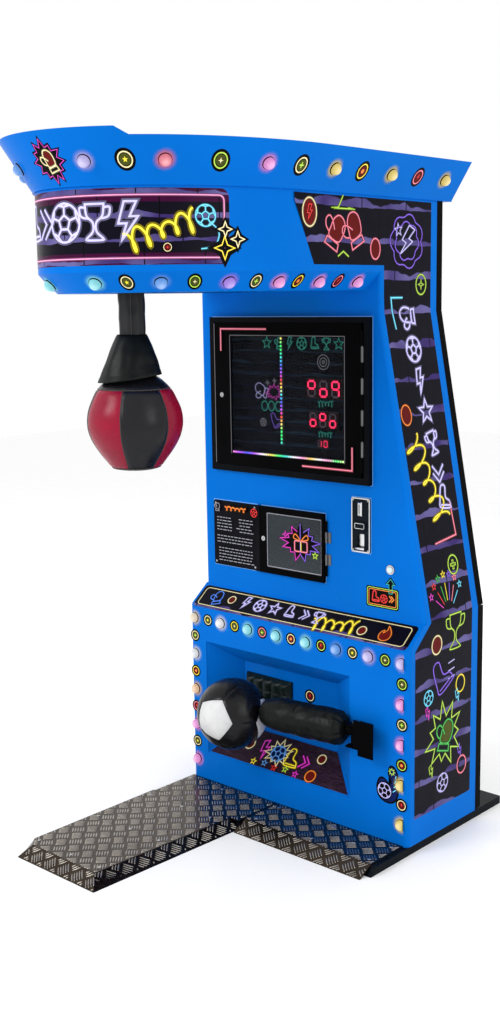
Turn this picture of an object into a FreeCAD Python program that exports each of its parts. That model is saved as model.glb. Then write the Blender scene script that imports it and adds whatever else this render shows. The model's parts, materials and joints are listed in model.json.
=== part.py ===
"""Boxing and kicking strength machine: one cabinet, a swinging punch bag and a swinging kick ball.

Millimetres. The origin is on the floor, midway across the cabinet and under its front panel.
+X is to the right of a player who faces the machine, +Y runs to its back and +Z is up.
"""
import FreeCAD, Part
import math
import os

V = FreeCAD.Vector

# ---- driving dimensions -------------------------------------------------------------------
SHEET = 2.0               # sheet steel of the casing
HALF_WIDTH = 400.0        # half the width of the cabinet
BODY_BACK = 330.0         # back edge of the side panels
COVER_DEPTH = 27.0        # depth of the rear cover and the rear door
BASE_TOP = 22.0           # top of the base tray, on which the cabinet stands
TREAD = 3.0               # treadplate thickness
CORNER = 15.0             # bend radius of the lower cabinet's front corners
TOWER_CORNER = 10.0       # bend radius of the tower's front edges

CONSOLE_LOW = 560.0       # foot of the sloping console
CONSOLE_HIGH = 619.0      # top of the sloping console
TOWER_FACE = 75.0         # front face of the tower
TOWER_RIGHT = 252.0       # right side of the tower where it is narrow
BEND_Z = 1430.0           # height at which the slanted side turns vertical

HEAD_X = -74.0            # middle of the head
HEAD_Y = -200.0           # where the head's straight sides turn into its rounded front
HEAD_A = TOWER_RIGHT - HEAD_X   # half-width of the head
HEAD_B = 515.0            # length of the rounded front
HEAD_FLOOR = 1487.0       # underside of the head
BAND_TOP = 1533.0         # top of the bevelled lamp band
BAND_IN = 45.0            # how far the bevel steps in at its foot
SKIN_TOP = 1722.0         # top of the head's upright wall
CROWN_LOW = 1725.0
CROWN_TOP = 1822.0
CROWN_PEAK = 1839.0       # top of the raised middle of the crown
CROWN_STEP = 6.0          # ledge under the crown
CROWN_FLARE = 0.65        # outward run of the crown for each unit of height
PEAK_HALF = 200.0         # half-width of the raised middle
PEAK_SLOPE = 17.0         # run of its slanted ends
CROWN_BACK = 392.0        # back of the crown

PIVOT_Y = -495.0          # axis of the punch arm
PIVOT_Z = 1560.0
BAG_R = 119.0
BAG_Z = 1172.0            # height at which the bag is widest
BAG_LOW = 1054.0
BAG_HIGH = 1299.0
BAY_HALF = 150.0          # half-width of the bay that the bag swings up into
BAY_FRONT = -560.0
BAY_BACK = 60.0
BAY_TOP = 1690.0

NICHE = (-335.0, 207.0, 113.0, 460.0)        # mouth of the kick niche: x, x, z, z
NICHE_BACK = (-256.0, 100.0, 195.0, 396.0)   # its back wall
NICHE_DEPTH = 85.0

KICK_X = 246.0            # hinge of the kick arm
KICK_Y = -22.0
KICK_Z = 320.0            # height of the arm
KICK_REST = 7.0           # degrees by which the arm leans out of the cabinet at rest
BALL_REACH = 412.0
BALL_R = 103.0
BALL_DROP = 28.0          # the ball's centre is this far below the arm

SURROUND = (-353.0, 227.0, 973.0, 1418.0)    # fixed surround of the display: x, x, z, z
DISPLAY = (-336.0, 199.7, 993.0, 1402.0)     # display door, inside the surround
DISPLAY_MOUTH = (-337.2, 208.2, 991.8, 1403.2)   # hole in the surround for the door and its hinge
DISPLAY_WINDOW = (-272.0, 144.0, 1027.0, 1366.0)
PRIZE = (-172.0, 67.0, 685.0, 880.0)         # prize door
PRIZE_WINDOW = (-146.0, 58.0, 704.0, 863.0)
RULES = (-361.0, -187.0, 684.0, 879.0)
COIN = (159.0, 222.0, 787.0, 937.0)
COIN_X = (COIN[0] + COIN[1]) / 2
START_X = 288.0
START_Z = 752.0

LAMP_R = 16.0
# Distances of the lamps from the front middle of the head, along its curve, on each side.
CROWN_RUNS = (118.0, 297.0, 548.0, 769.0, 997.0, 1236.0)
BAND_RUNS = (82.0, 233.0, 397.0, 540.0, 686.0, 840.0)
ROW_PITCH = 108.5
ROW_Z = 527.0
COLUMN_X = 380.0
COLUMN_PITCH = 111.0

FIT = 0.05                # radial clearance of a pin or shaft that turns
GAP = 0.3                 # clearance between parts that move past each other


# ---- shape helpers ------------------------------------------------------------------------
def block(x0, x1, y0, y1, z0, z1):
    return Part.makeBox(x1 - x0, y1 - y0, z1 - z0, V(x0, y0, z0))


def rod(x, y, z, axis, radius, length):
    return Part.makeCylinder(radius, length, V(x, y, z), V(*axis))


def face(points):
    return Part.Face(Part.makePolygon(points + points[:1]))


def prism_yz(points, x0, x1):
    return face([V(x0, y, z) for y, z in points]).extrude(V(x1 - x0, 0, 0))


def prism_xz(points, y0, y1):
    return face([V(x, y0, z) for x, z in points]).extrude(V(0, y1 - y0, 0))


def prism_xy(points, z0, z1):
    return face([V(x, y, z0) for x, y in points]).extrude(V(0, 0, z1 - z0))


def join(shapes):
    first = shapes[0]
    if len(shapes) == 1:
        return first
    return first.fuse(shapes[1:]).removeSplitter()


def group(shapes):
    return Part.makeCompound(shapes)


def save(name, shape):
    if shape.ShapeType == "Compound" and len(shape.Solids) == 1:
        shape = shape.Solids[0]
    shape.exportStep("parts/" + name + ".step")


def rectangle_wire(rect, y):
    x0, x1, z0, z1 = rect
    corners = [V(x0, y, z0), V(x1, y, z0), V(x1, y, z1), V(x0, y, z1), V(x0, y, z0)]
    return Part.makePolygon(corners)


def inset(rect, by):
    return (rect[0] + by, rect[1] - by, rect[2] + by, rect[3] - by)


def plate(rect, y0, y1):
    return block(rect[0], rect[1], y0, y1, rect[2], rect[3])


def button_head(x, y, z, axis, radius, height):
    """A low domed screw head on a flat face."""
    head = rod(x, y, z, axis, radius, height)
    rims = [e for e in head.Edges if abs(e.Length - 2 * math.pi * radius) < 0.01]
    middle = V(x, y, z)
    far = max(rims, key=lambda e: e.Vertexes[0].Point.sub(middle).dot(V(*axis)))
    return head.makeChamfer(height * 0.4, [far])


# ---- the head's plan curve ----------------------------------------------------------------
def plan_wire(offset, z, back):
    """Rounded front, two straight sides and a straight back, all moved out by offset."""
    a = HEAD_A + offset
    b = HEAD_B + offset
    front = Part.Ellipse(V(HEAD_X, HEAD_Y - b, z), V(HEAD_X + a, HEAD_Y, z), V(HEAD_X, HEAD_Y, z))
    bow = front.toShape(1.5 * math.pi, 2.5 * math.pi)
    right = Part.makeLine(V(HEAD_X + a, HEAD_Y, z), V(HEAD_X + a, back, z))
    rear = Part.makeLine(V(HEAD_X + a, back, z), V(HEAD_X - a, back, z))
    left = Part.makeLine(V(HEAD_X - a, back, z), V(HEAD_X - a, HEAD_Y, z))
    return Part.Wire([bow, right, rear, left])


def plan_slab(offset, z0, z1, back):
    return Part.Face(plan_wire(offset, z0, back)).extrude(V(0, 0, z1 - z0))


def plan_flare(offset0, z0, offset1, z1, back):
    """A block whose outline grows from offset0 at z0 to offset1 at z1."""
    return Part.makeLoft([plan_wire(offset0, z0, back), plan_wire(offset1, z1, back)], True, True)


def place_on_plan(offset, run):
    """Point and outward direction on the plan curve, at a signed distance from its front middle."""
    a = HEAD_A + offset
    b = HEAD_B + offset
    side = 1.0 if run >= 0 else -1.0
    left = abs(run)
    u = 0.0
    step = math.radians(0.25)
    while left > 0 and u < math.pi / 2:
        left -= math.hypot(a * math.cos(u), b * math.sin(u)) * step
        u += step
    if u < math.pi / 2:
        x = a * math.sin(u)
        y = -b * math.cos(u)
        nx = math.sin(u) / a
        ny = -math.cos(u) / b
        size = math.hypot(nx, ny)
        return V(HEAD_X + side * x, HEAD_Y + y, 0), V(side * nx / size, ny / size, 0)
    return V(HEAD_X + side * a, HEAD_Y + left, 0), V(side, 0, 0)


# ---- base and platforms -------------------------------------------------------------------
BASE_FRONT = -140.0
BASE_BACK = 467.0
PLATFORM_BACK = -165.0    # in front of this the boxer's platform stands on its own


def base_tray():
    """Folded steel tray, open below, with three ribs that run front to back."""
    toe = BASE_FRONT - BASE_TOP
    outside = [(BASE_BACK, 0), (BASE_BACK, BASE_TOP), (BASE_FRONT, BASE_TOP), (toe, 0)]
    inside = [(BASE_BACK - 3, -1), (BASE_BACK - 3, BASE_TOP - 3), (BASE_FRONT + 1, BASE_TOP - 3),
              (toe + 6, -1)]
    tray = prism_yz(outside, -HALF_WIDTH, HALF_WIDTH)
    tray = tray.cut(prism_yz(inside, 3 - HALF_WIDTH, HALF_WIDTH - 3))
    ribs = [block(x - 3, x + 3, BASE_FRONT + 2, BASE_BACK - 2, 0, BASE_TOP - 2) for x in (-200, 0, 200)]
    return join([tray] + ribs)


def boxer_tread_plate():
    """Treadplate that the boxer stands on: flat top, sloping front and right edges."""
    z1 = BASE_TOP + TREAD
    top = [(-406, PLATFORM_BACK), (-406, -610), (-378, -638), (-122, -638), (-92, PLATFORM_BACK)]
    foot = [(-406, PLATFORM_BACK), (-406, -640), (-392, -680), (-80, -680), (-58, PLATFORM_BACK)]
    wires = [Part.makePolygon([V(x, y, z) for x, y in ring + ring[:1]])
             for ring, z in ((foot, 0.0), (top, z1))]
    hump = Part.makeLoft(wires, True, True)
    hollow = hump.copy()
    hollow.translate(V(0, 0, -TREAD))
    shell = hump.cut(hollow)
    shell = shell.cut(block(-500, 0, PLATFORM_BACK, 100, -10, 40))
    left_flange = block(-406, -403, -608, PLATFORM_BACK, 0, z1 - 1)
    rear = block(-400, -60, PLATFORM_BACK, 0, BASE_TOP, z1)
    return join([shell, left_flange, rear])


def boxer_platform_bearers():
    """Two folded channels that carry the middle of the boxer's treadplate."""
    bearers = []
    for x in (-318, -190):
        channel = block(x, x + 40, -600, PLATFORM_BACK - 2, 0, BASE_TOP)
        bearers.append(channel.cut(block(x + 3, x + 37, -601, PLATFORM_BACK, -1, BASE_TOP - 3)))
    return group(bearers)


def kicker_tread_plate():
    top = BASE_TOP + TREAD
    outline = [(0, BASE_TOP), (BASE_FRONT, BASE_TOP), (-184, 0), (-190, 0), (BASE_FRONT, top), (0, top)]
    return prism_yz(outline, -56, 385)


# ---- the casing ---------------------------------------------------------------------------
def rounded_plan(inset_by, radius, z0, z1):
    """Plan of the lower cabinet with its two front corners rounded."""
    x = HALF_WIDTH - inset_by
    y = inset_by
    back = BODY_BACK + inset_by
    centre = y + radius
    turn = radius * math.sqrt(0.5)
    right = Part.Arc(V(x - radius, y, z0), V(x - radius + turn, centre - turn, z0), V(x, centre, z0))
    left = Part.Arc(V(-x, centre, z0), V(radius - x - turn, centre - turn, z0), V(radius - x, y, z0))
    edges = [left.toShape(),
             Part.makeLine(V(radius - x, y, z0), V(x - radius, y, z0)),
             right.toShape(),
             Part.makeLine(V(x, centre, z0), V(x, back, z0)),
             Part.makeLine(V(x, back, z0), V(-x, back, z0)),
             Part.makeLine(V(-x, back, z0), V(-x, centre, z0))]
    return Part.Face(Part.Wire(edges)).extrude(V(0, 0, z1 - z0))


def lower_block(i):
    """The lower cabinet and its console as one block, drawn in by i."""
    drop = 0.4855 * i
    side_view = [(i, BASE_TOP - i), (i, CONSOLE_LOW - drop), (TOWER_FACE + i, CONSOLE_HIGH - drop),
                 (BODY_BACK + i, CONSOLE_HIGH - drop), (BODY_BACK + i, BASE_TOP - i)]
    plan = rounded_plan(i, CORNER - i, BASE_TOP - i, CONSOLE_HIGH)
    return plan.common(prism_yz(side_view, -HALF_WIDTH, HALF_WIDTH))


def tower_block(i):
    """The tower as one block, drawn in by i: upright left side, slanted then upright right side."""
    left = -HALF_WIDTH + i
    outline = [(left, CONSOLE_LOW), (HALF_WIDTH - i, CONSOLE_LOW), (HALF_WIDTH - i, CONSOLE_HIGH),
               (TOWER_RIGHT - i, BEND_Z), (TOWER_RIGHT - i, BAND_TOP + i), (left, BAND_TOP + i)]
    front = TOWER_FACE + i
    tower = prism_xz(outline, front, BODY_BACK + i)
    edges = []
    for edge in tower.Edges:
        ends = [v.Point for v in edge.Vertexes]
        on_front = all(abs(p.y - front) < 0.01 for p in ends)
        upright = abs(ends[0].z - ends[1].z) > 10
        if on_front and upright:
            edges.append(edge)
    return tower.makeFillet(TOWER_CORNER - i, edges)


def casing():
    outside = lower_block(0.0).fuse(tower_block(0.0))
    inside = lower_block(SHEET).fuse(tower_block(SHEET))
    return outside.cut(inside)


def lower_front_panel(shell):
    panel = shell.common(block(-401, 401, -1, CORNER, 0, CONSOLE_LOW))
    return panel.cut(plate(NICHE, -1, SHEET + 1))


def console_panel(shell):
    return shell.common(block(-401, 401, -1, TOWER_FACE, CONSOLE_LOW, CONSOLE_HIGH + 1))


def tower_front_panel(shell):
    panel = shell.common(block(-401, 401, TOWER_FACE, TOWER_FACE + TOWER_CORNER, CONSOLE_HIGH, HEAD_FLOOR))
    for opening in (inset(SURROUND, 12), inset(PRIZE, 8), inset(COIN, 10)):
        panel = panel.cut(plate(opening, TOWER_FACE - 1, TOWER_FACE + SHEET + 1))
    return panel.cut(rod(START_X, TOWER_FACE - 1, START_Z, (0, 1, 0), 9.0, SHEET + 2))


def side_panels(shell):
    """The two side panels, left first, each from the base to the head."""
    low = block(-401, 401, CORNER, BODY_BACK, 0, CONSOLE_LOW)
    middle = block(-401, 401, TOWER_FACE, BODY_BACK, CONSOLE_LOW, CONSOLE_HIGH)
    high = block(-401, 401, TOWER_FACE + TOWER_CORNER, BODY_BACK, CONSOLE_HIGH, HEAD_FLOOR)
    top = block(-401, 401, TOWER_FACE, BODY_BACK, HEAD_FLOOR, BAND_TOP)
    sides = shell.common(join([low, middle, high, top]))
    left = sides.common(block(-401, -300, -1, 400, 0, 2000))
    right = sides.common(block(100, 401, -1, 400, 0, 2000))
    return left, right


def cover_tray(outline, depth_from, depth_to):
    """A shallow tray with its open side towards the front, from an outline in x and z."""
    centre = V(sum(p[0] for p in outline) / len(outline), 0, sum(p[1] for p in outline) / len(outline))
    solid = prism_xz(outline, depth_from, depth_to)
    inner = []
    for x, z in outline:
        inner.append((x + math.copysign(SHEET, centre.x - x), z + math.copysign(SHEET, centre.z - z)))
    return solid.cut(prism_xz(inner, depth_from - 1, depth_to - SHEET))


REAR_SPLIT = 622.0


def rear_upper_cover():
    """Screwed cover over the back of the tower and the head, with rows of cooling slots."""
    right_low = HALF_WIDTH - (REAR_SPLIT - CONSOLE_HIGH) * 148.0 / 811.0
    outline = [(-HALF_WIDTH, REAR_SPLIT), (right_low, REAR_SPLIT), (TOWER_RIGHT, BEND_Z),
               (TOWER_RIGHT, SKIN_TOP), (-HALF_WIDTH, SKIN_TOP)]
    tray = cover_tray(outline, BODY_BACK, BODY_BACK + COVER_DEPTH)
    slots = []
    for row in range(6):
        for column in range(3):
            x = -210 + column * 90
            z = 1180 + row * 22
            slots.append(block(x, x + 60, BODY_BACK, BODY_BACK + COVER_DEPTH + 1, z, z + 6))
    return tray.cut(slots)


REAR_HINGE_X = -405.0
REAR_HINGE_Y = BODY_BACK + COVER_DEPTH + 3.0


def rear_door():
    """Service door over the back of the lower cabinet, hung on its left edge."""
    outline = [(-HALF_WIDTH, 26), (HALF_WIDTH, 26), (HALF_WIDTH, REAR_SPLIT - 3), (-HALF_WIDTH, REAR_SPLIT - 3)]
    door = cover_tray(outline, BODY_BACK + GAP, BODY_BACK + COVER_DEPTH)
    for row in range(5):
        z = 120 + row * 22
        door = door.cut(block(-80, 80, BODY_BACK, BODY_BACK + COVER_DEPTH + 1, z, z + 6))
    pull = block(330, 350, REAR_HINGE_Y - 3, REAR_HINGE_Y + 22, 290, 390)
    pull = pull.cut(block(329, 351, REAR_HINGE_Y - 4, REAR_HINGE_Y + 14, 302, 378))
    knuckles = [rear_door_knuckle(z) for z in (110, 520)]
    return join([door, pull] + knuckles)


def rear_door_knuckle(z):
    """One 30 mm knuckle of a rear hinge with the leaf that is welded to the door."""
    barrel = rod(REAR_HINGE_X, REAR_HINGE_Y, z, (0, 0, 1), 5.0, 30.0)
    leaf = block(REAR_HINGE_X, REAR_HINGE_X + 34, BODY_BACK + COVER_DEPTH, REAR_HINGE_Y, z, z + 30)
    return barrel.fuse(leaf).cut(rod(REAR_HINGE_X, REAR_HINGE_Y, z - 1, (0, 0, 1), 2.5 + FIT, 32.0))


# ---- kick niche ---------------------------------------------------------------------------
def niche_tray():
    """Splayed steel tray behind the mouth in the front panel."""
    y0 = SHEET
    y1 = NICHE_DEPTH
    outside = Part.makeLoft([rectangle_wire(inset(NICHE, -SHEET), y0),
                             rectangle_wire(inset(NICHE_BACK, -SHEET), y1 + SHEET)], True, True)
    inside = Part.makeLoft([rectangle_wire(NICHE, y0), rectangle_wire(NICHE_BACK, y1)], True, True)
    return outside.cut(inside)


def kick_bumper():
    """Padded stop on the niche's back wall, behind the ball."""
    pad = block(-244, -68, 60, NICHE_DEPTH, 244, 366)
    edges = [e for e in pad.Edges if min(v.Point.y for v in e.Vertexes) < 61]
    return pad.makeFillet(9.0, edges)


BRACKET = (228.0, 286.0, 278.0, 342.0)
BRACKET_FRONT = -46.0
GUARD_RIGHT = 318.0       # the guard plate in front of the hinge hides the bracket's right side
GUARD_TOP = 358.0
GUARD_FOOT = 262.0


def kicker_bracket():
    """Folded bracket on the front panel that carries the hinge pin, with a guard plate in front."""
    x0, x1, z0, z1 = BRACKET
    back = plate(BRACKET, -4, 0)
    ears = [block(x0, x1, BRACKET_FRONT, -4, z, z + 5) for z in (z0, z1 - 5)]
    cheek = block(x1 - 4, x1, BRACKET_FRONT, -4, z0, z1)
    guard = block(KICK_X + 8, GUARD_RIGHT, BRACKET_FRONT, BRACKET_FRONT + 4, z0, GUARD_TOP)
    toe = block(KICK_X + 23, GUARD_RIGHT, BRACKET_FRONT, BRACKET_FRONT + 4, GUARD_FOOT, z0)
    body = join([back, cheek, guard, toe] + ears)
    return body.cut(rod(KICK_X, KICK_Y, z0 - 1, (0, 0, 1), 8.0, z1 - z0 + 2))


def kick_hinge_pin():
    pin = rod(KICK_X, KICK_Y, BRACKET[2], (0, 0, 1), 8.0, BRACKET[3] - BRACKET[2])
    cap = rod(KICK_X, KICK_Y, BRACKET[3], (0, 0, 1), 11.0, 4.0)
    return pin.fuse(cap).removeSplitter()


def swing_out(shape):
    """Turns a part drawn along -X from the kick hinge into its rest position."""
    turned = shape.copy()
    turned.rotate(V(KICK_X, KICK_Y, 0), V(0, 0, 1), KICK_REST)
    return turned


def kick_arm():
    """Hub on the hinge pin and the tube that carries the ball."""
    hub = rod(KICK_X, KICK_Y, BRACKET[2] + 5 + GAP, (0, 0, 1), 14.0, BRACKET[3] - BRACKET[2] - 10 - 2 * GAP)
    tube_end = KICK_X - BALL_REACH + BALL_R - 4
    tube = rod(KICK_X, KICK_Y, KICK_Z, (-1, 0, 0), 14.0, KICK_X - tube_end)
    arm = hub.fuse(tube).cut(rod(KICK_X, KICK_Y, 200, (0, 0, 1), 8.0 + FIT, 300))
    ball_space = Part.makeSphere(BALL_R, V(KICK_X - BALL_REACH, KICK_Y, KICK_Z - BALL_DROP))
    return swing_out(arm.cut(ball_space).removeSplitter())


def kick_sleeve():
    """Padded sleeve round the arm tube, drawn in at the hinge end."""
    y = KICK_Y
    z = KICK_Z
    radius = 49.0
    start = KICK_X - 44
    neck = Part.makeCone(30.0, radius, 26.0, V(start, y, z), V(-1, 0, 0))
    body = rod(start - 26, y, z, (-1, 0, 0), radius, 250.0)
    sleeve = neck.fuse(body).cut(rod(start + 1, y, z, (-1, 0, 0), 14.0, 400))
    ball_space = Part.makeSphere(BALL_R, V(KICK_X - BALL_REACH, KICK_Y, KICK_Z - BALL_DROP))
    return swing_out(sleeve.cut(ball_space).Solids[0])


def kick_ball():
    return swing_out(Part.makeSphere(BALL_R, V(KICK_X - BALL_REACH, KICK_Y, KICK_Z - BALL_DROP)))


# ---- head ---------------------------------------------------------------------------------
def head_skin():
    """Upright wall that wraps round the head."""
    outer = plan_slab(0, BAND_TOP, SKIN_TOP, BODY_BACK)
    return outer.cut(plan_slab(-SHEET, BAND_TOP - 1, SKIN_TOP + 1, BODY_BACK + 5))


def head_lower_band():
    """Bevelled band under the upright wall, which carries the lower lamps."""
    back = TOWER_FACE
    outer = plan_flare(-BAND_IN, HEAD_FLOOR, 0, BAND_TOP, back)
    inner = plan_flare(-BAND_IN - SHEET, HEAD_FLOOR, -SHEET, BAND_TOP, back + 5)
    return outer.cut(inner)


def head_underside():
    """Plate that closes the head from below, open where the bag swings up."""
    floor = plan_slab(-BAND_IN - SHEET - 0.3, HEAD_FLOOR, HEAD_FLOOR + SHEET, TOWER_FACE)
    return floor.cut(block(HEAD_X - BAY_HALF, HEAD_X + BAY_HALF, BAY_FRONT, BAY_BACK, 1400, 1600))


def crown_offset(z):
    return CROWN_STEP + CROWN_FLARE * (z - CROWN_LOW)


def crown_band():
    """Flared band round the top of the head, higher in the middle of its front."""
    wide = crown_offset(CROWN_PEAK)
    outer = plan_flare(CROWN_STEP, CROWN_LOW, wide, CROWN_PEAK, CROWN_BACK)
    inner = plan_flare(CROWN_STEP - 3, CROWN_LOW, wide - 3, CROWN_PEAK, CROWN_BACK - 3)
    ledge = plan_slab(CROWN_STEP, SKIN_TOP, CROWN_LOW, CROWN_BACK)
    ledge = ledge.cut(plan_slab(-25, SKIN_TOP, CROWN_LOW, BODY_BACK - 20))
    band = outer.cut(inner)
    half = PEAK_HALF
    foot = half + PEAK_SLOPE
    for side in (-1, 1):
        edge = [(HEAD_X + side * foot, CROWN_TOP), (HEAD_X + side * half, CROWN_PEAK + 1),
                (HEAD_X + side * 700, CROWN_PEAK + 1), (HEAD_X + side * 700, CROWN_TOP)]
        band = band.cut(prism_xz(edge, -900, 400))
    band = band.cut(block(-700, 700, -400, 400, CROWN_TOP, CROWN_PEAK + 1))
    return band.fuse(ledge).removeSplitter()


def crown_top_cover():
    """Flat lid inside the crown."""
    z = CROWN_TOP - 27
    return plan_slab(crown_offset(z) - 3.3, z, z + SHEET, CROWN_BACK - 3)


def bag_bay():
    """Steel bay in the head: two side plates that carry the punch arm, a top and a front plate."""
    x0 = HEAD_X - BAY_HALF
    x1 = HEAD_X + BAY_HALF
    z0 = HEAD_FLOOR + SHEET
    outer = block(x0 - 3, x1 + 3, BAY_FRONT - 3, BAY_BACK + 3, z0, BAY_TOP + 3)
    bay = outer.cut(block(x0, x1, BAY_FRONT, BAY_BACK, z0 - 1, BAY_TOP))
    return bay.cut(rod(x0 - 5, PIVOT_Y, PIVOT_Z, (1, 0, 0), 12.0, 2 * BAY_HALF + 10))


def pivot_bearings():
    """Two flanged bearing housings outside the bay's side plates."""
    blocks = []
    for side in (-1, 1):
        inner = HEAD_X + side * (BAY_HALF + 3)
        flange = rod(inner, PIVOT_Y, PIVOT_Z, (side, 0, 0), 34.0, 6.0)
        boss = rod(inner, PIVOT_Y, PIVOT_Z, (side, 0, 0), 21.0, 22.0)
        bore = rod(inner - side, PIVOT_Y, PIVOT_Z, (side, 0, 0), 10.0 + FIT, 24.0)
        blocks.append(flange.fuse(boss).cut(bore).removeSplitter())
    return group(blocks)


def bag_stop_buffers():
    """Four rubber buffers under the bay's top, on which the swung-up bag lands."""
    buffers = []
    for x in (HEAD_X - 35, HEAD_X + 35):
        for y in (-190, -90):
            buffers.append(Part.makeCone(16.0, 11.0, 27.0, V(x, y, BAY_TOP), V(0, 0, -1)))
    return group(buffers)


# ---- punch arm ----------------------------------------------------------------------------
def punch_shaft():
    length = 2 * (BAY_HALF + 28)
    return rod(HEAD_X - length / 2, PIVOT_Y, PIVOT_Z, (1, 0, 0), 10.0, length)


ARM_END = 1307.0


def punch_arm_tube():
    """Square tube that hangs from the shaft, with a hub at the top and a bag flange at the foot."""
    hub = rod(HEAD_X - 45, PIVOT_Y, PIVOT_Z, (1, 0, 0), 19.0, 90.0)
    tube = block(HEAD_X - 15, HEAD_X + 15, PIVOT_Y - 15, PIVOT_Y + 15, ARM_END, PIVOT_Z)
    flange = rod(HEAD_X, PIVOT_Y, BAG_HIGH, (0, 0, 1), 30.0, ARM_END - BAG_HIGH)
    arm = join([hub, tube, flange])
    return arm.cut(rod(HEAD_X - 60, PIVOT_Y, PIVOT_Z, (1, 0, 0), 10.0, 120.0))


def arm_sleeve():
    """Padded rectangular sleeve round the arm tube."""
    outer = block(HEAD_X - 30, HEAD_X + 30, PIVOT_Y - 23.5, PIVOT_Y + 23.5, 1352, 1536)
    uprights = [e for e in outer.Edges if abs(e.Vertexes[0].Point.z - e.Vertexes[1].Point.z) > 100]
    outer = outer.makeFillet(9.0, uprights)
    return outer.cut(block(HEAD_X - 15, HEAD_X + 15, PIVOT_Y - 15, PIVOT_Y + 15, 1300, 1600))


def bag_solid():
    """Pear-shaped bag: a shallow base cap and a spline side, turned about the bag's own axis."""
    rim = V(60, 0, BAG_LOW + 9)
    cap = Part.Arc(V(0, 0, BAG_LOW), V(31, 0, BAG_LOW + 2.3), rim).toShape()
    side = Part.BSplineCurve()
    side.interpolate([rim, V(97, 0, 1109), V(BAG_R, 0, BAG_Z), V(103, 0, 1233), V(66, 0, 1280),
                      V(30, 0, BAG_HIGH)])
    top = Part.makeLine(V(30, 0, BAG_HIGH), V(0, 0, BAG_HIGH))
    axis = Part.makeLine(V(0, 0, BAG_HIGH), V(0, 0, BAG_LOW))
    half = Part.Face(Part.Wire([cap, side.toShape(), top, axis]))
    bag = half.revolve(V(0, 0, 0), V(0, 0, 1), 360)
    bag.translate(V(HEAD_X, PIVOT_Y, 0))
    return bag


def sleeve_cuff(bag, sleeve):
    """Skirt that hangs over the top of the bag, fuller on the player's side."""
    foot = Part.makeCircle(78.0, V(HEAD_X, PIVOT_Y - 14, 1276))
    brow = Part.makeCircle(36.0, V(HEAD_X, PIVOT_Y - 2, 1388))
    cone = Part.makeLoft([Part.Wire(foot), Part.Wire(brow)], True, True)
    core = rod(HEAD_X, PIVOT_Y, BAG_HIGH, (0, 0, 1), 30.0, ARM_END - BAG_HIGH)
    core = core.fuse(block(HEAD_X - 15, HEAD_X + 15, PIVOT_Y - 15, PIVOT_Y + 15, ARM_END, 1400))
    skirt = cone.cut(bag).cut(core).cut(sleeve)
    return max(skirt.Solids, key=lambda solid: solid.Volume)


# ---- lamps --------------------------------------------------------------------------------
def lamp(point, axis):
    """A domed lamp cap with a thin rim, standing on a surface at point."""
    rim = Part.makeCylinder(LAMP_R, 3.0, point, axis)
    radius = LAMP_R - 1.5
    dome = Part.makeSphere(radius, point + axis * 3.0)
    keep = Part.makeCylinder(radius + 1, radius + 1, point + axis * 3.0, axis)
    return rim.fuse(dome.common(keep)).removeSplitter()


def sloped_axis(outward, flare):
    """Surface normal of a band that runs outward by flare for each unit of height."""
    axis = V(outward.x, outward.y, -flare)
    axis.normalize()
    return axis


def on_both_sides(runs):
    return [-run for run in reversed(runs)] + list(runs)


def crown_lamps():
    z = 1773.0
    lamps = []
    for run in on_both_sides(CROWN_RUNS):
        point, outward = place_on_plan(crown_offset(z), run)
        point.z = z
        axis = sloped_axis(outward, CROWN_FLARE)
        lamps.append(lamp(point + axis * 0.4, axis))
    return group(lamps)


def head_lamps():
    z = (HEAD_FLOOR + BAND_TOP) / 2
    flare = BAND_IN / (BAND_TOP - HEAD_FLOOR)
    lamps = []
    for run in on_both_sides(BAND_RUNS):
        point, outward = place_on_plan(-BAND_IN / 2, run)
        point.z = z
        axis = sloped_axis(outward, flare)
        lamps.append(lamp(point + axis * 0.4, axis))
    return group(lamps)


def cabinet_lamps():
    places = [(-COLUMN_X + k * ROW_PITCH, ROW_Z) for k in range(8)]
    for k in range(1, 5):
        places.append((-COLUMN_X, ROW_Z - k * COLUMN_PITCH))
        places.append((COLUMN_X, ROW_Z - k * COLUMN_PITCH))
    return group([lamp(V(x, 0, z), V(0, -1, 0)) for x, z in places])


# ---- display ------------------------------------------------------------------------------
DOOR_FACE = 61.0          # front of the display door
DISPLAY_HINGE_X = 204.0
DISPLAY_HINGE_Y = 60.5
DISPLAY_LOCK = (-307.0, 1195.0)
BOARD_FACE = 100.0        # front of the printed board behind the glass


def hinge_knuckles(x, y, heights, length, radius, pin, leaf):
    """Knuckles of one side of a hinge, each with a leaf block, bored for the pin."""
    knuckles = []
    for z in heights:
        barrel = rod(x, y, z, (0, 0, 1), radius, length)
        tab = block(leaf[0], leaf[1], leaf[2], leaf[3], z, z + length)
        bored = barrel.fuse(tab).cut(rod(x, y, z - 1, (0, 0, 1), pin, length + 2))
        knuckles.append(bored.removeSplitter())
    return knuckles


def display_door_frame():
    """Steel door round the display window, folded back at its edges."""
    frame = plate(DISPLAY, DOOR_FACE, TOWER_FACE - GAP)
    frame = frame.cut(plate(inset(DISPLAY, 3), DOOR_FACE + 3, TOWER_FACE))
    frame = frame.cut(plate(DISPLAY_WINDOW, DOOR_FACE - 1, TOWER_FACE))
    lock_x, lock_z = DISPLAY_LOCK
    frame = frame.cut(rod(lock_x, DOOR_FACE - 1, lock_z, (0, 1, 0), 5.0 + FIT, 5.0))
    heights = [DISPLAY[2] + 14 + k * 84 for k in range(5)]
    leaf = (DISPLAY[1] - 1, DISPLAY_HINGE_X, DOOR_FACE, DOOR_FACE + 3)
    knuckles = hinge_knuckles(DISPLAY_HINGE_X, DISPLAY_HINGE_Y, heights, 40.0, 3.5, 1.5 + FIT, leaf)
    return join([frame] + knuckles)


def display_glass():
    return plate(inset(DISPLAY_WINDOW, -14), DOOR_FACE + 3, DOOR_FACE + 7)


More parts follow.
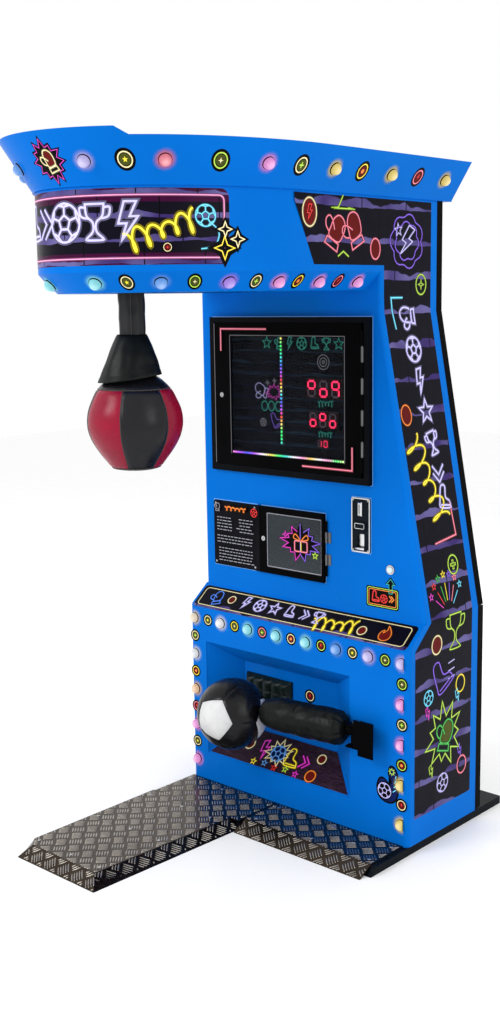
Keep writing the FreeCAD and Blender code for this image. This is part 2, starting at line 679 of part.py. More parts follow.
def lock_plug(x, y, z, cam_y, cam_length):
    """Cylinder lock with a key slot in front and a cam behind; the cam hangs down when open."""
    head = rod(x, y - 2, z, (0, 1, 0), 7.0, 2.0)
    plug = rod(x, y, z, (0, 1, 0), 5.0, cam_y - y)
    cam = block(x - 5, x + 5, cam_y, cam_y + 2, z - cam_length, z + 7)
    slot = block(x - 0.8, x + 0.8, y - 3, y - 0.5, z - 4, z + 4)
    return join([head, plug, cam]).cut(slot)


def display_lock():
    """Its cam turns behind the stop of the display case, clear of it."""
    return lock_plug(DISPLAY_LOCK[0], DOOR_FACE, DISPLAY_LOCK[1], TOWER_FACE + 5, 26)


def display_case():
    """Case of the display: a surround in front, a tray, a stop for the door, a flat back."""
    surround = plate(SURROUND, DOOR_FACE, TOWER_FACE)
    tray = plate(inset(DISPLAY_MOUTH, -2), DOOR_FACE + 2, BOARD_FACE + 4)
    body = surround.fuse(tray)
    body = body.cut(plate(DISPLAY_MOUTH, DOOR_FACE - 1, BOARD_FACE))
    hollow = plate(inset(SURROUND, 2), DOOR_FACE + 2, TOWER_FACE + 1)
    body = body.cut(hollow.cut(plate(inset(DISPLAY_MOUTH, -2), DOOR_FACE, TOWER_FACE + 2)))
    stop = plate(inset(DISPLAY_MOUTH, -1), TOWER_FACE, TOWER_FACE + SHEET)
    stop = stop.cut(plate(inset(DISPLAY_MOUTH, 10), TOWER_FACE - 1, TOWER_FACE + 3))
    return body.fuse(stop).removeSplitter()


def score_digits():
    """Three number modules: two of three large digits and one of two small ones."""
    modules = []
    for x0, x1, z0, z1 in ((-14, 112, 1195, 1250), (-6, 98, 1113, 1160), (24, 66, 1060, 1082)):
        modules.append(block(x0, x1, BOARD_FACE - 9, BOARD_FACE, z0, z1))
    return group(modules)


def led_light_bars():
    """An upright light bar and one along the foot of the window."""
    upright = block(-111, -103, BOARD_FACE - 7, BOARD_FACE, 1058, 1364)
    level = block(-300, 122, BOARD_FACE - 7, BOARD_FACE, 1022, 1030)
    return group([upright, level])


# ---- prize door, rules, coin entry, start button --------------------------------------------
PRIZE_FACE = 65.0
PRIZE_HINGE_X = 72.0
PRIZE_HINGE_Y = 70.5
PRIZE_LOCK = (-156.0, 786.0)


def prize_door_frame():
    frame = plate(PRIZE, PRIZE_FACE, TOWER_FACE - GAP)
    frame = frame.cut(plate(inset(PRIZE, 3), PRIZE_FACE + 3, TOWER_FACE))
    frame = frame.cut(plate(PRIZE_WINDOW, PRIZE_FACE - 1, TOWER_FACE))
    lock_x, lock_z = PRIZE_LOCK
    frame = frame.cut(rod(lock_x, PRIZE_FACE - 1, lock_z, (0, 1, 0), 5.0 + FIT, 5.0))
    leaf = (PRIZE[1] - 1, PRIZE_HINGE_X, PRIZE_HINGE_Y - 3.5, PRIZE_HINGE_Y - 1)
    heights = (PRIZE[2] + 20, PRIZE[3] - 50)
    knuckles = hinge_knuckles(PRIZE_HINGE_X, PRIZE_HINGE_Y, heights, 30.0, 3.5, 1.5 + FIT, leaf)
    return join([frame] + knuckles)


def prize_door_window():
    return plate(inset(PRIZE_WINDOW, -4), PRIZE_FACE + 3, PRIZE_FACE + 6)


def prize_lock():
    """Its cam turns behind the edge of the tower's front panel."""
    return lock_plug(PRIZE_LOCK[0], PRIZE_FACE, PRIZE_LOCK[1], TOWER_FACE + 3, 14)


def prize_bin():
    """Open-fronted steel box behind the prize door."""
    outer = plate(inset(PRIZE, -2), TOWER_FACE + SHEET, 280)
    return outer.cut(plate(PRIZE, TOWER_FACE, 278))


def rules_panel():
    """Flat panel with a raised bar at its right edge, against which the prize door closes."""
    panel = plate(RULES, TOWER_FACE - 3, TOWER_FACE)
    uprights = [e for e in panel.Edges if abs(e.Vertexes[0].Point.y - e.Vertexes[1].Point.y) > 1
                and e.Vertexes[0].Point.x < RULES[0] + 1]
    panel = panel.makeFillet(6.0, uprights)
    bar = block(RULES[1], PRIZE[0] - 0.8, PRIZE_FACE, TOWER_FACE, PRIZE[2], PRIZE[3])
    return panel.fuse(bar).removeSplitter()


COIN_FACE = TOWER_FACE - 4
CUP = (COIN_X - 12, COIN_X + 12, 801.0, 838.0)
REJECT = (COIN_X - 16, COIN_X + 16, 853.0, 868.0)
SLOT_HOLDER = (COIN_X - 7, COIN_X + 7, 887.0, 926.0)


def coin_plate():
    body = plate(COIN, COIN_FACE, TOWER_FACE)
    edges = [e for e in body.Edges if abs(e.Vertexes[0].Point.y - e.Vertexes[1].Point.y) > 1]
    body = body.makeFillet(5.0, edges)
    for opening in (CUP, inset(REJECT, -GAP), SLOT_HOLDER):
        body = body.cut(plate(opening, COIN_FACE - 1, TOWER_FACE + 1))
    rim = plate(inset(REJECT, -3), COIN_FACE - 3, COIN_FACE)
    return body.fuse(rim.cut(plate(inset(REJECT, -GAP), COIN_FACE - 4, COIN_FACE + 1))).removeSplitter()


def coin_slot_insert():
    """Raised coin entry with one upright slot."""
    body = plate(SLOT_HOLDER, COIN_FACE - 7, TOWER_FACE)
    fronts = [e for e in body.Edges if max(v.Point.y for v in e.Vertexes) < COIN_FACE - 6.9]
    body = body.makeChamfer(3.0, fronts)
    return body.cut(block(COIN_X - 1.6, COIN_X + 1.6, 50, 90, 893, 920))


def reject_button():
    return plate(REJECT, COIN_FACE - 6, TOWER_FACE + 4)


def coin_return_cup():
    """Box behind the return opening, with two cheeks that hold the flap's pivots."""
    outer = block(CUP[0] - 2, CUP[1] + 2, TOWER_FACE + 0.1, 120, CUP[2] - 2, CUP[3] + 10)
    inner = block(CUP[0], CUP[1], TOWER_FACE - 1, 118, CUP[2], CUP[3] + 8)
    return outer.cut(inner).cut(rod(CUP[0] - 3, FLAP_Y, FLAP_Z, (1, 0, 0), 1.5 + FIT, 60))


FLAP_Y = TOWER_FACE + 5
FLAP_Z = 841.0


def coin_return_flap():
    """Flap that hangs in the return opening and is pushed in with a finger."""
    leaf = block(CUP[0] + 0.6, CUP[1] - 0.6, FLAP_Y - 1.5, FLAP_Y + 0.5, CUP[2] + 1, FLAP_Z)
    pivot = rod(CUP[0] - 2, FLAP_Y, FLAP_Z, (1, 0, 0), 1.5, CUP[1] - CUP[0] + 4)
    return leaf.fuse(pivot).removeSplitter()


def coin_validator():
    """Coin checking unit behind the slot, open along the coin's path."""
    body = block(COIN_X - 24, COIN_X + 24, TOWER_FACE + 10, 175, 858, 940)
    path = block(COIN_X - 2, COIN_X + 2, TOWER_FACE, 150, 872, 930)
    return body.cut(path).cut(block(COIN_X - 2, COIN_X + 2, 120, 150, 850, 900))


def cash_box():
    """Open-topped steel box hung on the back of the tower's front panel, below the coin unit."""
    front = TOWER_FACE + SHEET
    outer = block(110, 250, front, 260, 660, 780)
    return outer.cut(block(112, 248, front + 2, 258, 662, 790))


def start_button_bezel():
    flange = rod(START_X, TOWER_FACE - 3, START_Z, (0, 1, 0), 13.0, 3.0)
    barrel = rod(START_X, TOWER_FACE, START_Z, (0, 1, 0), 9.0, 22.0)
    bore = rod(START_X, TOWER_FACE - 4, START_Z, (0, 1, 0), 7.6, 27.0)
    return flange.fuse(barrel).cut(bore).removeSplitter()


def start_button():
    cap = rod(START_X, TOWER_FACE - 7, START_Z, (0, 1, 0), 7.5, 16.0)
    rim = [e for e in cap.Edges if abs(e.Vertexes[0].Point.y - (TOWER_FACE - 7)) < 0.01
           and len(e.Vertexes) == 1]
    return cap.makeFillet(1.5, rim)


# ---- electrics ----------------------------------------------------------------------------
def control_board():
    """Circuit board on four pillars inside the left side panel, with its main chips."""
    board = block(-390, -388, 120, 280, 1120, 1330)
    pillars = [rod(-398, y, z, (1, 0, 0), 3.0, 8.0) for y in (130, 270) for z in (1130, 1320)]
    chips = [block(-388, -383, 150, 190, 1250, 1290), block(-388, -370, 220, 260, 1140, 1170),
             block(-388, -384, 150, 175, 1160, 1200)]
    return join([board] + pillars + chips)


def power_supply():
    body = block(-330, -220, 120, 310, BASE_TOP, BASE_TOP + 45)
    for k in range(9):
        y = 140 + k * 18
        body = body.cut(block(-310, -240, y, y + 6, BASE_TOP + 42, BASE_TOP + 46))
    return body


INLET = (300.0, 350.0, 660.0, 720.0)


def power_inlet():
    """Mains inlet with three pins in the rear cover."""
    y = BODY_BACK + COVER_DEPTH
    flange = plate(INLET, y, y + 3)
    body = plate(inset(INLET, 8), y - 26, y)
    body = body.fuse(flange).removeSplitter()
    body = body.cut(block(311, 339, y - 16, y + 4, 680, 700))
    pins = []
    for dx, dz in ((-7, -3), (7, -3), (0, 3)):
        x = 325 + dx
        z = 690 + dz
        pins.append(block(x - 1, x + 1, y - 17, y - 2, z - 2.5, z + 2.5))
    return join([body] + pins)


def cover_for_inlet(cover):
    y = BODY_BACK + COVER_DEPTH
    return cover.cut(plate(inset(INLET, 8), y - SHEET - 1, y + 1))


# ---- hinges and screws --------------------------------------------------------------------
def door_hinge_leaves():
    """Fixed halves of the display, prize and rear door hinges."""
    leaf = (DISPLAY_HINGE_X, DISPLAY_MOUTH[1], DOOR_FACE, DOOR_FACE + 3)
    heights = [DISPLAY[2] + 56 + k * 84 for k in range(4)]
    leaves = hinge_knuckles(DISPLAY_HINGE_X, DISPLAY_HINGE_Y, heights, 40.0, 3.5, 1.5, leaf)
    for z in (PRIZE[2] + 51, PRIZE[3] - 81):
        leaves += hinge_knuckles(PRIZE_HINGE_X, PRIZE_HINGE_Y, (z,), 30.0, 3.5, 1.5,
                                (PRIZE_HINGE_X, PRIZE_HINGE_X + 14, PRIZE_HINGE_Y + 2, TOWER_FACE))
    for z in (141, 489):
        leaves.append(rear_fixed_leaf(z))
    return group(leaves)


def rear_fixed_leaf(z):
    barrel = rod(REAR_HINGE_X, REAR_HINGE_Y, z, (0, 0, 1), 5.0, 30.0)
    arm = block(REAR_HINGE_X - 2, REAR_HINGE_X + 1, BODY_BACK - 30, REAR_HINGE_Y, z, z + 30)
    pad = block(REAR_HINGE_X, -HALF_WIDTH, BODY_BACK - 30, BODY_BACK - 4, z, z + 30)
    leaf = join([barrel, arm, pad])
    return leaf.cut(rod(REAR_HINGE_X, REAR_HINGE_Y, z - 1, (0, 0, 1), 2.5, 32.0))


def hinge_pins():
    """Pins of the three doors; each is held by the fixed leaves."""
    display = rod(DISPLAY_HINGE_X, DISPLAY_HINGE_Y, DISPLAY[2] + 14, (0, 0, 1), 1.5, 5 * 84 - 44)
    prize = [rod(PRIZE_HINGE_X, PRIZE_HINGE_Y, PRIZE[2] + 19, (0, 0, 1), 1.5, 63.0),
             rod(PRIZE_HINGE_X, PRIZE_HINGE_Y, PRIZE[3] - 82, (0, 0, 1), 1.5, 63.0)]
    rear = [rod(REAR_HINGE_X, REAR_HINGE_Y, 109, (0, 0, 1), 2.5, 63.0),
            rod(REAR_HINGE_X, REAR_HINGE_Y, 488, (0, 0, 1), 2.5, 63.0)]
    return group([display] + prize + rear)


def panel_screws():
    """All the visible screws, as separate low heads."""
    screws = []
    for x in (COIN[0] + 6, COIN[1] - 6):
        for z in (COIN[2] + 6, COIN[3] - 6):
            screws.append(button_head(x, COIN_FACE, z, (0, -1, 0), 3.5, 1.8))
    for x in (RULES[0] + 9, RULES[1] - 9):
        for z in (RULES[2] + 9, RULES[3] - 9):
            screws.append(button_head(x, TOWER_FACE - 3, z, (0, -1, 0), 3.5, 1.6))
    rear_y = BODY_BACK + COVER_DEPTH
    for x in (-385, 235):
        for k in range(6):
            screws.append(button_head(x, rear_y, 650 + k * 200, (0, 1, 0), 4.5, 2.2))
    tread_top = BASE_TOP + TREAD
    for x in (-385, -250, -136):
        for y in (-610, -400, -200, -30):
            screws.append(button_head(x, y, tread_top, (0, 0, 1), 5.0, 1.8))
    for x in (-30, 170, 365):
        for y in (-120, -25):
            screws.append(button_head(x, y, tread_top, (0, 0, 1), 5.0, 1.8))
    for z in (BRACKET[2] + 14, BRACKET[3] - 14):
        screws.append(button_head(BRACKET[1], -23, z, (1, 0, 0), 5.0, 3.0))
    return group(screws)


# ---- everything ---------------------------------------------------------------------------
def main():
    os.makedirs("parts", exist_ok=True)
    shell = casing()
    left_side, right_side = side_panels(shell)
    bag = bag_solid()
    sleeve = arm_sleeve()
    nodes = {
        "base_tray": base_tray(),
        "boxer_tread_plate": boxer_tread_plate(),
        "boxer_platform_bearers": boxer_platform_bearers(),
        "kicker_tread_plate": kicker_tread_plate(),
        "lower_front_panel": lower_front_panel(shell),
        "console_panel": console_panel(shell),
        "tower_front_panel": tower_front_panel(shell),
        "left_side_panel": left_side,
        "right_side_panel": right_side,
        "rear_upper_cover": cover_for_inlet(rear_upper_cover()),
        "rear_door": rear_door(),
        "niche_tray": niche_tray(),
        "kick_bumper": kick_bumper(),
        "kicker_bracket": kicker_bracket(),
        "kick_hinge_pin": kick_hinge_pin(),
        "kick_arm": kick_arm(),
        "kick_sleeve": kick_sleeve(),
        "kick_ball": kick_ball(),
        "head_skin": head_skin(),
        "head_lower_band": head_lower_band(),
        "head_underside": head_underside(),
        "crown_band": crown_band(),
        "crown_top_cover": crown_top_cover(),
        "bag_bay": bag_bay(),
        "pivot_bearings": pivot_bearings(),
        "bag_stop_buffers": bag_stop_buffers(),
        "punch_shaft": punch_shaft(),
        "punch_arm_tube": punch_arm_tube(),
        "arm_sleeve": sleeve,
        "sleeve_cuff": sleeve_cuff(bag, sleeve),
        "punch_bag": bag,
        "crown_lamps": crown_lamps(),
        "head_lamps": head_lamps(),
        "cabinet_lamps": cabinet_lamps(),
        "display_door_frame": display_door_frame(),
        "display_glass": display_glass(),
        "display_lock": display_lock(),
        "display_case": display_case(),
        "score_digits": score_digits(),
        "led_light_bars": led_light_bars(),
        "prize_door_frame": prize_door_frame(),
        "prize_door_window": prize_door_window(),
        "prize_lock": prize_lock(),
        "prize_bin": prize_bin(),
        "rules_panel": rules_panel(),
        "coin_plate": coin_plate(),
        "coin_slot_insert": coin_slot_insert(),
        "reject_button": reject_button(),
        "coin_return_cup": coin_return_cup(),
        "coin_return_flap": coin_return_flap(),
        "coin_validator": coin_validator(),
        "cash_box": cash_box(),
        "start_button_bezel": start_button_bezel(),
        "start_button": start_button(),
        "control_board": control_board(),
        "power_supply": power_supply(),
        "power_inlet": power_inlet(),
        "door_hinge_leaves": door_hinge_leaves(),
        "hinge_pins": hinge_pins(),
        "panel_screws": panel_screws(),
    }
    for name, shape in nodes.items():
        save(name, shape)


main()
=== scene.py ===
"""Looks of the boxing and kicking machine: materials, printed skins, lamps and soft goods."""
import bmesh
import bpy
import json
import math
import random
from mathutils import Matrix, Vector, noise


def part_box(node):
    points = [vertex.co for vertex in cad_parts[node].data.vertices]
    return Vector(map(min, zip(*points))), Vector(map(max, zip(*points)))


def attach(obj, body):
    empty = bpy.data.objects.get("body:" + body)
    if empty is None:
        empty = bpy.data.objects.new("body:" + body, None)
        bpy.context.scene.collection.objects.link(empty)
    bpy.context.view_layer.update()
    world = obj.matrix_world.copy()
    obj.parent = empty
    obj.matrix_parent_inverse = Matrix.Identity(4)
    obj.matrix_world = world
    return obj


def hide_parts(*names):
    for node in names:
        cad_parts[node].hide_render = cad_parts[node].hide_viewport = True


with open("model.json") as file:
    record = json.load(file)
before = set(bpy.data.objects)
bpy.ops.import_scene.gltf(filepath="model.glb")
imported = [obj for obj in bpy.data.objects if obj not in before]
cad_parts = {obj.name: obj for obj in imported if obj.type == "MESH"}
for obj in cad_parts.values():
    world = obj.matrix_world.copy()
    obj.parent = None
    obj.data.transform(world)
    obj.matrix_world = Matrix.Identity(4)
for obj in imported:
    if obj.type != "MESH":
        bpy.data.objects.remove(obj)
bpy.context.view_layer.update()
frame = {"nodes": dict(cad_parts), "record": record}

MM = 0.001
NODES = frame["nodes"]
SLOT_OF = {part["node"]: part["material_slot"] for part in frame["record"]["subparts"]}


def centre_of(node):
    """Middle of a CAD node's box."""
    low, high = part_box(node)
    return (low + high) / 2


# ---- camera, light and floor ----------------------------------------------------------------
CAMERA_AT, CAMERA_LENS = Vector((2.187, -2.545, 1.469)), 43.77
CAMERA_TURN, CAMERA_TILT, CAMERA_ROLL = 42.54, 9.61, -0.89    # degrees to the left, down and round


def add_camera():
    """The photograph's view, worked out from the straight edges of the cabinet."""
    yaw, pitch, roll = (math.radians(angle) for angle in (CAMERA_TURN, CAMERA_TILT, CAMERA_ROLL))
    forward = Vector((-math.sin(yaw) * math.cos(pitch), math.cos(yaw) * math.cos(pitch), -math.sin(pitch)))
    level = Vector((math.cos(yaw), math.sin(yaw), 0))
    upright = level.cross(forward)
    side = level * math.cos(roll) + upright * math.sin(roll)
    up = upright * math.cos(roll) - level * math.sin(roll)
    data = bpy.data.cameras.new("camera")
    data.lens = CAMERA_LENS
    data.sensor_width = 36.0
    camera = bpy.data.objects.new("camera", data)
    bpy.context.scene.collection.objects.link(camera)
    place = Matrix((side, up, -forward)).transposed().to_4x4()
    place.translation = CAMERA_AT
    camera.matrix_world = place
    bpy.context.scene.camera = camera


def add_light(name, place, target, size, power):
    """Rectangular lamp at place that shines at target."""
    data = bpy.data.lights.new(name, "AREA")
    data.shape = "RECTANGLE"
    data.size, data.size_y = size
    data.energy = power
    light = bpy.data.objects.new(name, data)
    light.location = place
    light.rotation_euler = (Vector(target) - Vector(place)).to_track_quat("-Z", "Y").to_euler()
    bpy.context.scene.collection.objects.link(light)


def add_studio():
    """White surroundings and three soft lamps."""
    world = bpy.data.worlds.new("studio")
    world.use_nodes = True
    backdrop = world.node_tree.nodes["Background"]
    backdrop.inputs["Color"].default_value = (1.0, 1.0, 1.0, 1)
    backdrop.inputs["Strength"].default_value = 1.0
    bpy.context.scene.world = world
    bpy.context.scene.view_settings.view_transform = "Standard"
    middle = (0, -0.1, 0.9)
    add_light("key", (-1.2, -3.6, 3.0), middle, (1.6, 1.6), 62)
    add_light("fill", (3.4, -0.6, 2.2), middle, (1.2, 2.4), 20)
    add_light("back", (-0.6, 3.6, 2.6), middle, (2.6, 2.0), 34)


# ---- shader helpers -------------------------------------------------------------------------
def linear(red, green, blue):
    """Linear colour from 0..255 screen values."""
    parts = []
    for value in (red, green, blue):
        value = value / 255
        parts.append(value / 12.92 if value <= 0.04045 else ((value + 0.055) / 1.055) ** 2.4)
    return parts[0], parts[1], parts[2], 1.0


def dimmed(colour, share):
    """The colour with its light scaled by share."""
    return colour[0] * share, colour[1] * share, colour[2] * share, 1.0


class Shader:
    """A new material with its Principled shader, and short ways to add nodes to it."""

    def __init__(self, name):
        self.material = bpy.data.materials.new(name)
        self.material.use_nodes = True
        self.tree = self.material.node_tree
        self.bsdf = self.tree.nodes["Principled BSDF"]

    def add(self, kind, inputs, **settings):
        made = self.tree.nodes.new("ShaderNode" + kind)
        for key, value in settings.items():
            setattr(made, key, value)
        for key, value in inputs.items():
            if isinstance(value, bpy.types.NodeSocket):
                self.tree.links.new(value, made.inputs[key])
            else:
                made.inputs[key].default_value = value
        return made

    def set(self, **values):
        for key, value in values.items():
            socket = self.bsdf.inputs[key.replace("_", " ")]
            if isinstance(value, bpy.types.NodeSocket):
                self.tree.links.new(value, socket)
            else:
                socket.default_value = value

    def where(self):
        return self.add("TexCoord", {}).outputs["Object"]

    def noise(self, scale, detail=3.0, vector=None, roughness=0.5):
        values = {"Scale": scale, "Detail": detail, "Roughness": roughness,
                  "Vector": vector or self.where()}
        return self.add("TexNoise", values).outputs["Fac"]

    def math(self, operation, first, second=0.0, third=0.0):
        return self.add("Math", {0: first, 1: second, 2: third}, operation=operation).outputs[0]

    def between(self, value, low, high, start=0.0, end=1.0):
        """The value moved from the range low..high to start..end, and held there."""
        values = {"Value": value, "From Min": low, "From Max": high, "To Min": start, "To Max": end}
        return self.add("MapRange", values).outputs["Result"]

    def mix(self, share, first, second, blend="MIX"):
        values = {0: share, 6: first, 7: second}
        return self.add("Mix", values, data_type="RGBA", blend_type=blend).outputs[2]

    def bump(self, height, strength, distance, normal=None):
        values = {"Height": height, "Strength": strength, "Distance": distance}
        if normal:
            values["Normal"] = normal
        return self.add("Bump", values).outputs["Normal"]


def surface(name, colour, rough, metal=0.0, spread=0.18, grain=(700, 0.25, 0.0004), blotch=9.0,
            rough_spread=0.08, **sockets):
    """A finish with uneven tone, uneven gloss and a fine grain."""
    shader = Shader(name)
    broad = shader.noise(blotch, 4)
    fine = shader.noise(grain[0], 2)
    tone = shader.between(broad, 0.3, 0.7)
    shade = shader.mix(tone, dimmed(colour, 1 - spread), dimmed(colour, 1 + spread))
    sockets.setdefault("Specular_IOR_Level", 0.04)
    shader.set(Base_Color=shade,
               Roughness=shader.between(broad, 0.3, 0.7, rough - rough_spread, rough + rough_spread),
               Normal=shader.bump(fine, grain[1], grain[2]), Metallic=metal, **sockets)
    return shader.material


def speckled(name, colour, fleck, rough, metal=0.0):
    """Coarse textured coating with small light flecks."""
    shader = Shader(name)
    grain = shader.noise(420, 2)
    flecks = shader.between(grain, 0.62, 0.7)
    shade = shader.mix(flecks, colour, fleck)
    shader.set(Base_Color=shade, Roughness=rough, Metallic=metal, Specular_IOR_Level=0.05,
               Normal=shader.bump(grain, 0.5, 0.0006))
    return shader.material


def brushed(name, colour, rough, along, metal=1.0, scratch=0.35):
    """Metal with fine parallel scratches; along is the stretch of the scratches on each axis."""
    shader = Shader(name)
    stretched = shader.add("Mapping", {"Vector": shader.where(), "Scale": along}).outputs[0]
    lines = shader.noise(1.0, 3, stretched)
    broad = shader.noise(14, 4)
    shade = shader.mix(shader.between(lines, 0.3, 0.7), dimmed(colour, 0.8), dimmed(colour, 1.15))
    stain = shader.mix(shader.between(broad, 0.45, 0.75, 0, 0.5), shade, dimmed(colour, 0.55))
    shader.set(Base_Color=stain, Metallic=metal,
               Roughness=shader.between(lines, 0.25, 0.75, rough - 0.1, rough + 0.12),
               Normal=shader.bump(lines, scratch, 0.0003))
    return shader.material


def leather(name, colour, rough=0.32, gloss=0.3, pebble=420):
    """Leatherette: pebbled grain of small cells, soft creases and a glossy top coat."""
    shader = Shader(name)
    cells = shader.add("TexVoronoi", {"Scale": pebble, "Vector": shader.where()}).outputs["Distance"]
    creases = shader.noise(38, 5, roughness=0.62)
    broad = shader.noise(11, 3)
    shade = shader.mix(shader.between(broad, 0.3, 0.7), dimmed(colour, 0.78), dimmed(colour, 1.15))
    # Lighter on the raised crease ridges: painted sheen.
    ridge_sheen = shader.mix(shader.between(creases, 0.58, 0.8, 0, 0.12), shade, dimmed(colour, 3.0))
    fine = shader.bump(cells, 0.22, 0.0006)
    shader.set(Base_Color=ridge_sheen, Roughness=shader.between(creases, 0.3, 0.7, rough - 0.07, rough + 0.13),
               Normal=shader.bump(creases, 0.16, 0.004, fine), Specular_IOR_Level=gloss)
    return shader.material


def glowing(name, colour, strength):
    """A lit part: nearly even light with a faint mottle."""
    shader = Shader(name)
    mottle = shader.between(shader.noise(160, 2), 0.3, 0.7)
    shade = shader.mix(mottle, dimmed(colour, 0.86), colour)
    shader.set(Base_Color=shade, Roughness=0.35, Emission_Color=shade, Emission_Strength=strength)
    return shader.material


def lamp_glow(name, colour):
    """Lamp dome: white-hot middle that fades to the lamp's colour at its rim."""
    shader = Shader(name)
    radial = shader.add("UVMap", {}, uv_map="metres").outputs[0]
    out = shader.add("SeparateXYZ", {"Vector": radial}).outputs[0]
    hot = shader.between(out, 0.25, 0.95)
    heart = (colour[0] * 0.7 + 0.3, colour[1] * 0.7 + 0.3, colour[2] * 0.7 + 0.3, 1)
    shade = shader.mix(hot, heart, colour)
    mottle = shader.between(shader.noise(90, 2), 0.3, 0.7, 0.86, 1.0)
    lit = shader.math("MULTIPLY", mottle, shader.between(out, 0.3, 1.0, 0.92, 0.62))
    shader.set(Base_Color=dimmed(colour, 0.12), Roughness=0.25, Emission_Color=shade, Specular_IOR_Level=0.2,
               Emission_Strength=lit)
    return shader.material


def lamp_halo(name, colour):
    """Light spilt on the panel round a lamp, fading out to nothing."""
    shader = Shader(name)
    radial = shader.add("UVMap", {}, uv_map="metres").outputs[0]
    out = shader.add("SeparateXYZ", {"Vector": radial}).outputs[0]
    fade = shader.between(out, 1.1, 2.1, 1.0, 0.0)
    ripple = shader.between(shader.noise(60, 2), 0.2, 0.8, 0.85, 1.0)
    fade_squared = shader.math("MULTIPLY", fade, fade)
    cover = shader.math("MULTIPLY", fade_squared, shader.math("MULTIPLY", ripple, 0.75))
    shader.set(Base_Color=dimmed(colour, 0.2), Roughness=0.9, Emission_Color=colour, Emission_Strength=0.7,
               Specular_IOR_Level=0.0, Alpha=cover)
    return shader.material


def brick_print(name, low_tint, high_tint, row=0.052, length=0.135, brick=(0.0022, 0.0016, 0.006, 1),
                thick=(0.06, 0.30), fringe=None):
    """Printed wall: near-black bricks with torn bands between the rows; fringe is (low, high, colour)."""
    shader = Shader(name)
    where = shader.add("UVMap", {}, uv_map="metres").outputs[0]
    split = shader.add("SeparateXYZ", {"Vector": where})
    across, up = split.outputs[0], split.outputs[1]
    wobble = shader.between(shader.noise(13, 3, where), 0.25, 0.75, -0.004, 0.004)
    level = shader.math("DIVIDE", shader.math("ADD", up, wobble), row)
    course = shader.math("FLOOR", level)
    height = shader.math("FRACT", level)
    patch = shader.add("CombineXYZ", {0: across, 1: shader.math("MULTIPLY", course, 0.37), 2: 0.0}).outputs[0]
    depth = shader.between(shader.noise(9, 2, patch), 0.36, 0.62, *thick)
    band = shader.between(shader.math("SUBTRACT", depth, height), 0.0, 0.03)
    tint = shader.mix(shader.between(shader.noise(6, 2, where), 0.38, 0.62), low_tint, high_tint)
    slip = shader.math("MULTIPLY", shader.math("FRACT", shader.math("MULTIPLY", course, 0.37)), length)
    along = shader.math("FRACT", shader.math("DIVIDE", shader.math("ADD", across, slip), length))
    joint = shader.math("LESS_THAN", along, 0.02)
    body = shader.mix(shader.between(shader.noise(24, 4, where), 0.35, 0.75), brick, dimmed(high_tint, 0.03))
    if fringe:
        low, high, colour = fringe
        under, over = shader.math("LESS_THAN", up, low), shader.math("GREATER_THAN", up, high)
        outside = shader.math("MAXIMUM", under, over)
        body = shader.mix(outside, body, colour)
    printed = shader.mix(band, body, tint)
    final = shader.mix(joint, printed, (0.001, 0.001, 0.002, 1))
    shader.set(Base_Color=final, Roughness=shader.between(shader.noise(30, 2), 0.3, 0.7, 0.24, 0.34),
               Specular_IOR_Level=0.05)
    return shader.material


def rainbow(name, axis, low, high, colours, strength=2.2):
    """Light strip whose lamps change colour along one axis."""
    shader = Shader(name)
    place = shader.add("SeparateXYZ", {"Vector": shader.where()}).outputs[axis]
    ramp = shader.tree.nodes.new("ShaderNodeValToRGB")
    shader.tree.links.new(shader.between(place, low, high), ramp.inputs[0])
    stops = ramp.color_ramp.elements
    for index, colour in enumerate(colours):
        at = index / (len(colours) - 1)
        stop = stops[0] if index == 0 else stops[-1] if index == len(colours) - 1 else stops.new(at)
        stop.position = at
        stop.color = colour
    shader.set(Base_Color=ramp.outputs[0], Emission_Color=ramp.outputs[0], Emission_Strength=strength)
    return shader.material


def clear(name, tint, alpha, rough=0.06):
    """Tinted clear sheet with faint smears."""
    shader = Shader(name)
    smear = shader.between(shader.noise(12, 4), 0.35, 0.75, rough, rough + 0.1)
    shade = shader.mix(shader.between(shader.noise(5, 2), 0.3, 0.7), tint, dimmed(tint, 1.4))
    shader.set(Base_Color=shade, Roughness=smear, Alpha=alpha, Specular_IOR_Level=0.12)
    return shader.material


# ---- the finishes ---------------------------------------------------------------------------
BLUE = (0.0010, 0.148, 0.60, 1)
BLACK = (0.0012, 0.0012, 0.0015, 1)


